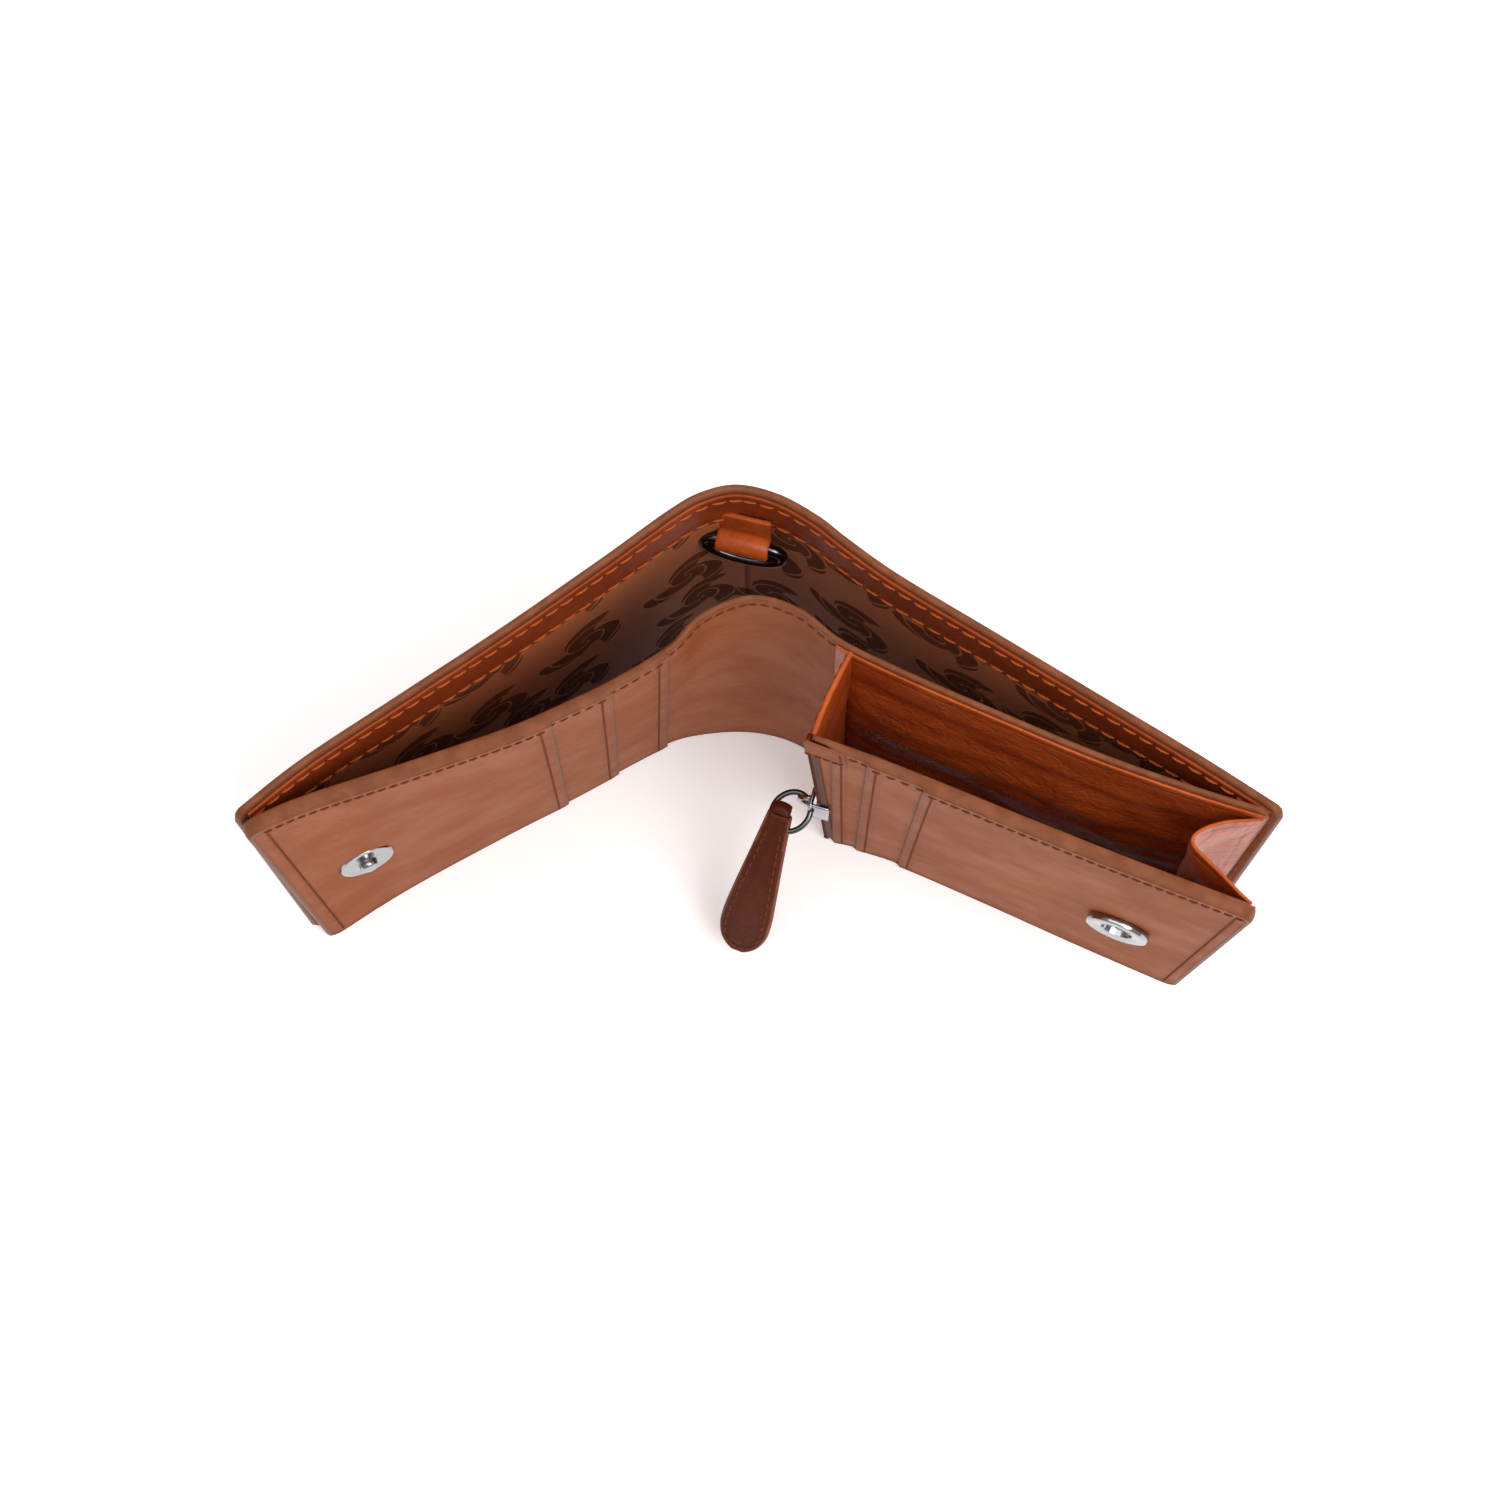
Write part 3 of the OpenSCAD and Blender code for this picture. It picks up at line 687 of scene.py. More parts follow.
def row_tree():
    """Geometry Nodes that set one piece at a steady pitch along lines, facing away from them."""
    tree = bpy.data.node_groups.get("Row of pieces")
    if tree:
        return tree
    tree = bpy.data.node_groups.new("Row of pieces", "GeometryNodeTree")
    tree.is_modifier = True
    for label, kind in (("Geometry", "NodeSocketGeometry"), ("Piece", "NodeSocketObject"),
                        ("Pitch", "NodeSocketFloat"), ("Slant", "NodeSocketFloat"),
                        ("Finish", "NodeSocketMaterial")):
        tree.interface.new_socket(label, in_out="INPUT", socket_type=kind)
    tree.interface.new_socket("Geometry", in_out="OUTPUT", socket_type="NodeSocketGeometry")
    n = Nodes(tree)
    start, end = n.add("NodeGroupInput"), n.add("NodeGroupOutput")
    curve = n.add("GeometryNodeMeshToCurve", {"Mesh": start.outputs["Geometry"]})
    row = n.add("GeometryNodeResampleCurve", {"Curve": curve.outputs[0],
                                              "Length": start.outputs["Pitch"]}, mode="LENGTH")
    out = n.add("GeometryNodeInputNamedAttribute", {"Name": "out"}, data_type="FLOAT_VECTOR")
    tangent = n.add("GeometryNodeInputTangent")
    along = n.add("FunctionNodeAlignRotationToVector", {"Vector": tangent.outputs[0]}, axis="X")
    facing = n.add("FunctionNodeAlignRotationToVector",
                   {"Rotation": along.outputs[0], "Vector": out.outputs[0]},
                   axis="Z", pivot_axis="X")
    slant = n.add("FunctionNodeAxisAngleToRotation", {"Axis": (0, 0, 1),
                                                      "Angle": start.outputs["Slant"]})
    turned = n.add("FunctionNodeRotateRotation", {"Rotation": facing.outputs[0],
                                                  "Rotate By": slant.outputs[0]},
                   rotation_space="LOCAL")
    piece = n.add("GeometryNodeObjectInfo", {"Object": start.outputs["Piece"]})
    placed = n.add("GeometryNodeInstanceOnPoints",
                   {"Points": row.outputs[0], "Instance": piece.outputs["Geometry"],
                    "Rotation": turned.outputs[0]})
    real = n.add("GeometryNodeRealizeInstances", {"Geometry": placed.outputs[0]})
    coloured = n.add("GeometryNodeSetMaterial", {"Geometry": real.outputs[0],
                                                 "Material": start.outputs["Finish"]})
    tree.links.new(coloured.outputs[0], end.inputs[0])
    return tree


def stitch_form(length, width):
    """One stitch: a plump thread that rises in the middle and dips at both ends."""
    rings = np.linspace(-0.5, 0.5, 7)
    centres = [(t * length, 0, width * (0.30 - 1.6 * abs(t) ** 2.2)) for t in rings]
    radii = [width * 0.5 * (1 - 0.45 * (2 * abs(t)) ** 3) for t in rings]
    return tube("stitch_form", centres, radii, None, sides=7, up=(0, 0, 1))


def tooth_form(width, depth, height):
    """One zip tooth: a small block with a rounded head."""
    return rounded_block("tooth_form", (0, 0, 0), np.eye(3), (height, width, depth),
                         min(height, depth) * 0.3, None, segments=1)


def rows_on(name, lines, form, pitch, finish, slant=0.0):
    """A row of copies of form along each line. A line is points and outward normals in mm."""
    points, normals, edges = [], [], []
    for line, outs in lines:
        first = len(points)
        points += list(line)
        normals += list(outs)
        edges += [(i, i + 1) for i in range(first, len(points) - 1)]
    mesh = bpy.data.meshes.new(name + "_path")
    mesh.from_pydata((np.array(points) * MM).tolist(), edges, [])
    mesh.attributes.new("out", "FLOAT_VECTOR", "POINT").data.foreach_set(
        "vector", np.array(normals, np.float32).ravel())
    path = bpy.data.objects.new(name + "_path", mesh)
    bpy.context.scene.collection.objects.link(path)
    modifier = path.modifiers.new("Row", "NODES")
    modifier.node_group = row_tree()
    values = {"Piece": form, "Pitch": pitch * MM, "Slant": slant, "Finish": finish}
    for item in modifier.node_group.interface.items_tree:
        if item.in_out == "INPUT" and item.name in values:
            modifier[item.identifier] = values[item.name]
    bpy.context.view_layer.update()
    evaluated = path.evaluated_get(bpy.context.evaluated_depsgraph_get())
    made = bpy.data.meshes.new_from_object(evaluated)
    made.name = name
    path.modifiers.remove(modifier)
    bpy.data.objects.remove(path)
    made.shade_smooth()
    obj = bpy.data.objects.new(name, made)
    bpy.context.scene.collection.objects.link(obj)
    return obj


def seam_line(wall, path, d, step=0.5):
    """A line for rows_on along (s, z) points on a wall, at distance d."""
    p = np.array(path, float)
    run = np.r_[0, np.cumsum(np.linalg.norm(np.diff(p, axis=0), axis=1))]
    t = np.linspace(0, run[-1], max(2, int(run[-1] / step)))
    s, z = np.interp(t, run, p[:, 0]), np.interp(t, run, p[:, 1])
    dd = d(s, z) if callable(d) else np.full(len(s), d)
    sign = 1 if (dd.mean() > 0 or callable(d)) else -1
    _, _, out = wall.frame_at(s, z)
    normals = np.concatenate([out, np.zeros((len(s), 1))], -1) * sign
    return wall.point(s, z, dd), normals


# ---------------------------------------------------------------- settings


class WalletSizes(bpy.types.PropertyGroup):
    """Sizes of the leather, thread and metal, in millimetres."""

    cover_t: FloatProperty(name="Cover leather", default=1.4, min=0.5, max=2,
                           description="Thickness of the cover leather in mm")
    divider_t: FloatProperty(name="Divider leather", default=1.1, min=0.5, max=2,
                             description="Thickness of the divider leather in mm")
    pocket_t: FloatProperty(name="Pocket leather", default=0.5, min=0.3, max=1,
                            description="Thickness of each card pocket layer in mm")
    lining_t: FloatProperty(name="Lining", default=0.3, min=0.1, max=0.6,
                            description="Thickness of the fabric lining in mm")
    facing_h: FloatProperty(name="Facing", default=13.5, min=8, max=20,
                            description="Height of the leather facing in mm")
    corner_r: FloatProperty(name="Corner radius", default=3, min=0.5, max=6,
                            description="Radius of the outer corners in mm")
    stitch_pitch: FloatProperty(name="Stitch pitch", default=3.0, min=1, max=5,
                                description="Distance between facing stitches in mm")
    fine_pitch: FloatProperty(name="Fine stitch pitch", default=1.9, min=1, max=4,
                              description="Distance between panel stitches in mm")
    thread_w: FloatProperty(name="Thread", default=0.42, min=0.2, max=1,
                            description="Width of the facing thread in mm")
    fine_w: FloatProperty(name="Fine thread", default=0.36, min=0.1, max=0.8,
                          description="Width of the panel thread in mm")
    stud_d: FloatProperty(name="Stud", default=10.2, min=6, max=14,
                          description="Diameter of the snap's stud in mm")
    socket_d: FloatProperty(name="Socket", default=11.6, min=6, max=14,
                            description="Diameter of the snap's socket in mm")


def colour_property(label, red, green, blue):
    return FloatVectorProperty(name=label, subtype="COLOR", size=4, min=0, max=1,
                               default=srgb(red, green, blue),
                               description="Colour of the " + label.lower())


class WalletColours(bpy.types.PropertyGroup):
    """Colours of the wallet's leather, lining, thread and metal."""

    tan: colour_property("Tan leather", 148, 78, 37)
    tan_dark: colour_property("Tan leather shade", 136, 69, 31)
    tan_light: colour_property("Tan leather light", 158, 86, 43)
    edge: colour_property("Edge paint", 130, 76, 50)
    edge_dark: colour_property("Edge paint shade", 114, 64, 40)
    facing: colour_property("Facing leather", 150, 66, 30)
    facing_dark: colour_property("Facing leather shade", 122, 48, 20)
    glossy: colour_property("Pocket leather", 176, 78, 30)
    glossy_dark: colour_property("Pocket leather shade", 146, 60, 22)
    glossy_light: colour_property("Pocket leather light", 196, 96, 44)
    tab: colour_property("Pull tab leather", 88, 36, 15)
    tab_dark: colour_property("Pull tab shade", 66, 25, 11)
    lining: colour_property("Lining fabric", 196, 116, 72)
    lining_dark: colour_property("Lining pattern", 112, 62, 36)
    thread: colour_property("Facing thread", 196, 100, 50)
    thread_dark: colour_property("Panel thread", 128, 66, 34)
    nickel: colour_property("Nickel", 166, 168, 172)
    gunmetal: colour_property("Gunmetal", 92, 94, 98)


def sizes():
    """The sizes to cut the leather, thread and metal to."""
    return bpy.context.scene.wallet_sizes


# ---------------------------------------------------------------- where things lie

LEFT, RIGHT = -1, 1
# Distances along the divider: pocket edges on the left, the gusset pocket on the right.
POCKET_EDGES = (-16.7, -27.6, -38.8)
SPLIT = -17.2
GUSSET_FROM = 17.6
LAYER = 0.02                     # air between layers, so that they never share a face
SEAM_LIFT = 0.02                 # how far a seam's line stands off the leather it sews
STITCH_SHARE = 0.8               # a stitch's length as a share of its pitch
SEAM_DEPTH = 2.3                 # from the divider's upper edge down to its seam
DIVIDER_BEND = (0.0075, 0.008)   # where the divider's bend starts at its top, and its run, in m
FOLD_LEAN = {LEFT: 0.105, RIGHT: 0.084}      # how far that bend moves out, per height below it

# The card panel's back face in plan, along its upper and its lower edge.
CARD_TOP = [(10.2, -21.2), (19.7, -25.0), (29, -29), (46, -36.6), (63, -44), (80.8, -51.4)]
CARD_BOTTOM = [(15.2, -17), (20.4, -18.3), (29.2, -21.4), (46, -29.3), (63, -37.6), (80.4, -45.8)]
# The spine-side wall of the gusset pocket, from the divider to the card panel.
INNER_TOP = [(17.1, -6.9), (14.6, -11.5), (12.2, -16.4), (10.3, -21.2)]
INNER_BOTTOM = [(18.2, -5.6), (17.4, -9.5), (16.4, -13.4), (15.4, -16.8)]
# The gusset's fold at the outer end.
FOLD_TOP = [(83.2, -36.4), (77, -36.9), (72.4, -38.4), (71.2, -40.3), (73.6, -43.6),
            (80.2, -50.6)]
FOLD_BOTTOM = [(83, -36.2), (78.5, -37.6), (75.2, -39.2), (74.6, -40.6), (76, -42.6),
               (80, -45.4)]


class Panel(Wall):
    """A wall whose courses both start at zero, whatever X they start from."""

    def __init__(self, bottom, top):
        super().__init__(Course(bottom), Course(top))
        for course in (self.bottom, self.top):
            course.run = course.run - course.run[0]
        self.length = self.top.run[-1]
        self.bottom.run = self.bottom.run * (self.length / self.bottom.run[-1])


CARD = Panel(CARD_BOTTOM, CARD_TOP)
INNER = Panel(INNER_BOTTOM, INNER_TOP)
FOLD = Panel(FOLD_BOTTOM, FOLD_TOP)


def flatten_left(obj):
    """Rides the left half of the divider."""
    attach(obj, "divider_left")
    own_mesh(obj)


def flatten_card(obj):
    """Rides the card panel."""
    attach(obj, "card_panel")
    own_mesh(obj)


def flatten_gusset(obj):
    """Rides the right half of the divider."""
    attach(obj, "divider_right")
    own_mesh(obj)


def bend_cover(obj):
    """Bakes the piece's placement into its mesh."""
    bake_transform(obj)


def bend_divider(obj, side):
    """Bakes the piece's placement into its mesh. The divider's fold leans outwards towards the
    foot; its start, run and lean are read here but not used.
    """
    near, run = DIVIDER_BEND
    lean = FOLD_LEAN[side]
    run /= 1 + lean ** 2
    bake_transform(obj)


# ---------------------------------------------------------------- operators


class WALLET_OT_finishes(bpy.types.Operator):
    """Make every leather, cloth, thread and metal finish"""
    bl_idname = "wallet.finishes"
    bl_label = "Finishes"

    def execute(self, context):
        c = context.scene.wallet_colours
        for build in (leather_group, rim_group, weave_group):
            build()
        m = MATERIALS
        m.leather("Tan leather", c.tan[:], c.tan_dark[:], c.tan_light[:], 0.56, bump=0.28,
                  crease=0.35, crease_scale=0.07, rim_colour=c.edge[:], rim_width=1.1,
                  seam=2.6, crease_shade=0.2)
        m.leather("Cover leather", c.tan[:], c.tan_dark[:], c.tan_light[:], 0.58, bump=0.4,
                  crease=0.4, crease_scale=0.06, rim_colour=c.edge[:], rim_width=1.3, seam=2.6)
        m.leather("Facing leather", c.facing[:], c.facing_dark[:], c.facing[:], 0.42, bump=0.25,
                  crease=0.3, crease_scale=0.1, coat=0.1, seam=2.2)
        m.leather("Pocket leather", c.glossy[:], c.glossy_dark[:], c.glossy_light[:], 0.36,
                  bump=0.4, pebble=1.2, crease=0.8, crease_scale=0.1, coat=0.06,
                  crease_shade=0.12, shine=0.12)
        m.leather("Loop leather", c.glossy[:], c.glossy_dark[:], c.glossy_light[:], 0.36,
                  bump=0.3, pebble=1.6, crease=0.5, coat=0.25)
        m.leather("Tab leather", c.tab[:], c.tab_dark[:], c.tab[:], 0.44, bump=0.3,
                  crease=0.4, crease_scale=0.14, coat=0.12)
        m.edge_paint(c.edge[:], c.edge_dark[:])
        m.cloth("Lining cloth", c.lining_dark[:], c.lining[:])
        m.cloth("Zip tape", c.tab_dark[:], c.tab[:], threads=3.0, motif=60.0, strength=0.0)
        m.thread("Facing thread", c.thread[:], c.facing[:])
        m.thread("Panel thread", c.thread_dark[:], c.tab_dark[:])
        m.metal("Nickel", c.nickel[:], 0.16)
        m.metal("Zip metal", c.tab[:], 0.34, scratch=0.12)
        m.metal("Gunmetal", c.gunmetal[:], 0.2)
        return {"FINISHED"}


class WALLET_OT_cover(bpy.types.Operator):
    """Build the cover's two halves, each from the spine to its end seam"""
    bl_idname = "wallet.cover"
    bl_label = "Cover"

    def execute(self, context):
        cut = sizes()
        finish = [finish_of("Cover leather"), finish_of("Edge paint")]
        for side, name in ((LEFT, "left"), (RIGHT, "right")):
            span = (COVER_ENDS[0], 0) if side == LEFT else (0, COVER_ENDS[1])
            rounded = (1, 0, 1, 1) if side == LEFT else (0, 1, 1, 1)
            corners = (cut.corner_r, 0) if side == LEFT else (0, cut.corner_r)
            obj = leather_sheet("cover_leather_" + name, COVER, span, (0, HEIGHT), 0, cut.cover_t,
                                finish, rounded, corners, rim_width=0.95)
            sharpen(obj)
            bend_cover(obj)
            nodes = ["cover_" + name] + (["cover_spine"] if side == RIGHT else [])
            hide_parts(*nodes)
        return {"FINISHED"}


class WALLET_OT_facing(bpy.types.Operator):
    """Build the leather facing inside the cover's upper edge, with its two seams"""
    bl_idname = "wallet.facing"
    bl_label = "Facing"

    def execute(self, context):
        cut = sizes()
        low, high = HEIGHT - cut.facing_h, HEIGHT - 0.9
        back, front = cut.cover_t + LAYER, cut.cover_t + 0.62
        form = stitch_form(cut.stitch_pitch * 0.86, cut.thread_w)
        for side, name in ((LEFT, "left"), (RIGHT, "right")):
            end = COVER_ENDS[0] + 2.2 if side == LEFT else COVER_ENDS[1] - 2.2
            span = (end, 0) if side == LEFT else (0, end)
            rounded = (1, 0, 1, 1) if side == LEFT else (0, 1, 1, 1)
            obj = leather_sheet("facing_leather_" + name, COVER, span, (low, high), back, front,
                                [finish_of("Facing leather")], rounded)
            sharpen(obj)
            bend_cover(obj)
            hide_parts("facing_" + name, *(["spine_facing"] if side == RIGHT else []))
            lines = [seam_line(COVER, [(side * 1.2, level), (end - side * 1.6, level)],
                               front + SEAM_LIFT) for level in (HEIGHT - 2.9, low + 1.6)]
            seam = rows_on("facing_seams_" + name, lines, form, cut.stitch_pitch,
                           finish_of("Facing thread"), slant=side * 0.16)
            bend_cover(seam)
        bpy.data.objects.remove(form)
        return {"FINISHED"}


class WALLET_OT_linings(bpy.types.Operator):
    """Build the patterned fabric linings of the bill compartment"""
    bl_idname = "wallet.linings"
    bl_label = "Linings"

    def execute(self, context):
        cut = sizes()
        cloth = [finish_of("Lining cloth")]
        top = HEIGHT - cut.facing_h + 0.8
        for side, name in ((LEFT, "left"), (RIGHT, "right")):
            end = COVER_ENDS[0] + 2.4 if side == LEFT else COVER_ENDS[1] - 2.4
            span = (end, 0) if side == LEFT else (0, end)
            obj = leather_sheet("cover_lining_cloth_" + name, COVER, span, (0.8, top),
                                cut.cover_t + LAYER, cut.cover_t + LAYER + cut.lining_t, cloth,
                                rounded=(0, 0, 0, 0))
            bend_cover(obj)
            nodes = ["cover_lining_" + name, "board_" + name]
            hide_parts(*nodes, *(["spine_lining"] if side == RIGHT else []))

            far = DIVIDER_ENDS[0] + 2.4 if side == LEFT else DIVIDER_ENDS[1] - 2.4
            back = -LAYER - cut.lining_t
            if side == LEFT:
                near = leather_sheet("divider_lining_cloth_fold", DIVIDER, (SPLIT, 0),
                                     (0.8, HEIGHT - 2), back, -LAYER, cloth, (0, 0, 0, 0))
                bend_divider(near, LEFT)
                half = leather_sheet("divider_lining_cloth_left", DIVIDER, (far, SPLIT),
                                     (0.8, HEIGHT - 2), back, -LAYER, cloth, (0, 0, 0, 0))
                flatten_left(half)
                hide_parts("divider_lining_left")
            else:
                near = leather_sheet("divider_lining_cloth_turn", DIVIDER, (0, -SPLIT),
                                     (0.8, HEIGHT - 2), back, -LAYER, cloth, (0, 0, 0, 0))
                bend_divider(near, RIGHT)
                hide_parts("middle_lining")
                half = leather_sheet("divider_lining_cloth_right", DIVIDER, (-SPLIT, far),
                                     (0.8, HEIGHT - 2), back, -LAYER, cloth, (0, 0, 0, 0))
                flatten_gusset(half)
                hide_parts("divider_lining_right")
        return {"FINISHED"}


class WALLET_OT_divider(bpy.types.Operator):
    """Build the divider leather with its painted edges and seams"""
    bl_idname = "wallet.divider"
    bl_label = "Divider"

    def execute(self, context):
        cut = sizes()
        finish = [finish_of("Tan leather"), finish_of("Edge paint")]
        left = leather_sheet("divider_leather_left", DIVIDER, (DIVIDER_ENDS[0], SPLIT),
                             (0, HEIGHT), 0, cut.divider_t, finish, (1, 0, 1, 1),
                             (cut.corner_r, 0), rim_width=0.75)
        flatten_left(left)
        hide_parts("divider_left")
        fold = leather_sheet("divider_leather_fold", DIVIDER, (SPLIT, 0), (0, HEIGHT), 0,
                             cut.divider_t, finish, (0, 0, 1, 1), step=0.8, rim_width=0.75)
        bend_divider(fold, LEFT)
        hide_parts("divider_middle")
        turn = leather_sheet("divider_leather_turn", DIVIDER, (0, -SPLIT), (0, HEIGHT), 0,
                             cut.divider_t, finish, (0, 0, 1, 1), step=0.8, rim_width=0.75)
        bend_divider(turn, RIGHT)
        right = leather_sheet("divider_leather_right", DIVIDER, (-SPLIT, DIVIDER_ENDS[1]),
                              (0, HEIGHT), 0, cut.divider_t, finish, (0, 1, 1, 1),
                              (0, cut.corner_r), rim_width=0.75)
        flatten_gusset(right)
        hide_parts("divider_right")
        for obj in (left, fold, turn, right):
            sharpen(obj)
        form = stitch_form(cut.fine_pitch * STITCH_SHARE, cut.fine_w)
        level = HEIGHT - SEAM_DEPTH
        middle = cut.divider_t + SEAM_LIFT
        for name, line in (("fold", (-0.8, POCKET_EDGES[0] + 0.6)), ("turn", (0.8, 16.6)),
                           ("right", (18, DIVIDER_ENDS[1] - 3))):
            seam = rows_on("divider_seam_" + name,
                           [seam_line(DIVIDER, [(line[0], level), (line[1], level)], middle)],
                           form, cut.fine_pitch, finish_of("Panel thread"), slant=0.1)
            if name == "right":
                flatten_gusset(seam)
            else:
                bend_divider(seam, LEFT if name == "fold" else RIGHT)
        bpy.data.objects.remove(form)
        return {"FINISHED"}


def left_front(s, z=0):
    """d of the front of the left stack at s: it steps up at each pocket's edge. The edges are
    upright, so z changes nothing. It is there because edge_bead gives both."""
    cut = sizes()
    face = cut.divider_t
    for edge in POCKET_EDGES:
        face = face + (cut.pocket_t + LAYER) * np.clip((edge - np.asarray(s)) / 0.8, 0, 1)
    return face


class WALLET_OT_left_pockets(bpy.types.Operator):
    """Build the three stepped card pockets on the left"""
    bl_idname = "wallet.left_pockets"
    bl_label = "Left pockets"

    def execute(self, context):
        cut = sizes()
        low, high = 0.35, HEIGHT - 0.35
        form = stitch_form(cut.fine_pitch * STITCH_SHARE, cut.fine_w)
        lines = []
        for k, (edge, name) in enumerate(zip(POCKET_EDGES, ("back", "middle", "front"))):
            back = cut.divider_t + LAYER + k * (cut.pocket_t + LAYER)
            obj = leather_sheet("left_pocket_leather_" + name, DIVIDER,
                                (DIVIDER_ENDS[0] + 0.3, edge), (low, high), back,
                                back + cut.pocket_t, [finish_of("Tan leather")], (1, 1, 1, 1),
                                (cut.corner_r, 0))
            flatten_left(obj)
            extra = ["stud_backing"] if name == "front" else []
            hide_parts("left_pocket_" + name, *extra)
            face = back + cut.pocket_t + SEAM_LIFT
            lines.append(seam_line(DIVIDER, [(edge - 2.1, high - 2.2), (edge - 2.1, low + 1.5)],
                                   face))
            stop = POCKET_EDGES[k + 1] if k < 2 else DIVIDER_ENDS[0] + 3.6
            lines.append(seam_line(DIVIDER, [(edge - 2.1, HEIGHT - SEAM_DEPTH),
                                             (stop, HEIGHT - SEAM_DEPTH)],
                                   face))
        lines.append(seam_line(DIVIDER, [(DIVIDER_ENDS[0] + 3.2, HEIGHT - 3),
                                         (DIVIDER_ENDS[0] + 3.2, 3)], face))
        seam = rows_on("left_pocket_seams", lines, form, cut.fine_pitch,
                       finish_of("Panel thread"), slant=0.1)
        flatten_left(seam)
        bpy.data.objects.remove(form)
        path = outline_path((POCKET_EDGES[0] - 0.2, DIVIDER_ENDS[0] + 0.15),
                            (0.15, HEIGHT - 0.15), cut.corner_r, "TEB")
        bead = edge_bead("left_edge_paint", DIVIDER, path, lambda s, h: 0.0, left_front,
                         finish_of("Edge paint"))
        flatten_left(bead)
        return {"FINISHED"}


def pocket_bulge(s, z):
    """How far the pocket's soft back lining hangs forward of the divider, with its creases."""
    t = np.clip(1 - z / HEIGHT, 0, 1)
    span = np.clip((s - GUSSET_FROM) / 5, 0, 1) * np.clip((DIVIDER_ENDS[1] - 1 - s) / 6, 0, 1)
    hang = 5.2 * t ** 1.25 + 1.1 * np.exp(-((z - 66 + 0.08 * s) / 9) ** 2)
    crease = (0.15 * np.sin(z / 2.3 + 0.9 * np.sin(s / 7.5) + s / 21)
              + 0.10 * np.sin(z / 1.25 + 1.3 * np.sin(s / 5.2 + 1) - s / 9)
              + 0.14 * np.sin(z / 3.7 + s / 4.1 + 1.7 * np.sin(s / 11)))
    fade = np.clip((HEIGHT - z) / 14, 0, 1)
    return span * (hang + crease * fade)


class WALLET_OT_gusset_pocket(bpy.types.Operator):
    """Build the gusset pocket: glossy back lining, inner side wall and the outer V fold"""
    bl_idname = "wallet.gusset_pocket"
    bl_label = "Gusset pocket"

    def execute(self, context):
        cut = sizes()
        glossy = [finish_of("Pocket leather")]
        back = cut.divider_t + LAYER
        lining = leather_sheet("pocket_lining_back", DIVIDER,
                               (GUSSET_FROM, DIVIDER_ENDS[1] - 0.6), (1.5, HEIGHT - 0.7), back,
                               back + 0.5, glossy, step=1.0, z_step=0.8, relief=pocket_bulge)
        flatten_gusset(lining)
        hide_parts("pocket_back_lining")
        side = leather_sheet("pocket_side_inner", INNER, (0, INNER.length), (2, HEIGHT - 0.6),
                             -0.5, 0.45, glossy, step=0.7)
        fold = leather_sheet("pocket_fold_outer", FOLD, (0, FOLD.length), (2, HEIGHT - 2.2),
                             -0.3, 0.3, glossy, step=0.5,
                             relief=lambda s, h: 0.18 * np.sin(h / 3.1 + s / 3)
                             * np.clip(s / 4, 0, 1) * np.clip((FOLD.length - s) / 4, 0, 1))
        form = stitch_form(cut.fine_pitch * STITCH_SHARE, cut.fine_w)
        seam = rows_on("pocket_side_seam", [seam_line(
            INNER, [(1, HEIGHT - 2.6), (INNER.length - 1, HEIGHT - 2.6)], 0.47)], form,
            cut.fine_pitch, finish_of("Panel thread"))
        bpy.data.objects.remove(form)
        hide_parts("pocket_gusset")
        for obj in (side, fold, seam):
            flatten_gusset(obj)
        return {"FINISHED"}


# Card panel layers: distance of the spine-side edge at the foot, and its lean to the top.
CARD_LAYERS = (("backing", 0.0, 0.0), ("slot_back", 0.6, 3.0), ("slot_middle", 5.6, 4.4),
               ("front", 15.2, 4.9))
CARD_LINING = 0.45


def card_front(s, z):
    """d of the front of the card panel's stack."""
    cut = sizes()
    face = CARD_LINING + LAYER
    for _, start, lean in CARD_LAYERS:
        edge = start + lean * np.asarray(z) / HEIGHT
        face = face + (cut.pocket_t + LAYER) * np.clip((np.asarray(s) - edge + 0.4) / 0.8, 0, 1)
    return face


class LeaningWall(Wall):
    """A wall whose s counts from an edge that leans with height."""

    def __init__(self, wall, start, lean):
        self.wall, self.start, self.lean = wall, start, lean

    def frame_at(self, s, z):
        z = np.asarray(z, float)
        full = self.wall.length - self.start
        shift = self.start + self.lean * z / HEIGHT
        s = shift + np.asarray(s) * (self.wall.length - shift) / full
        return self.wall.frame_at(s, z)


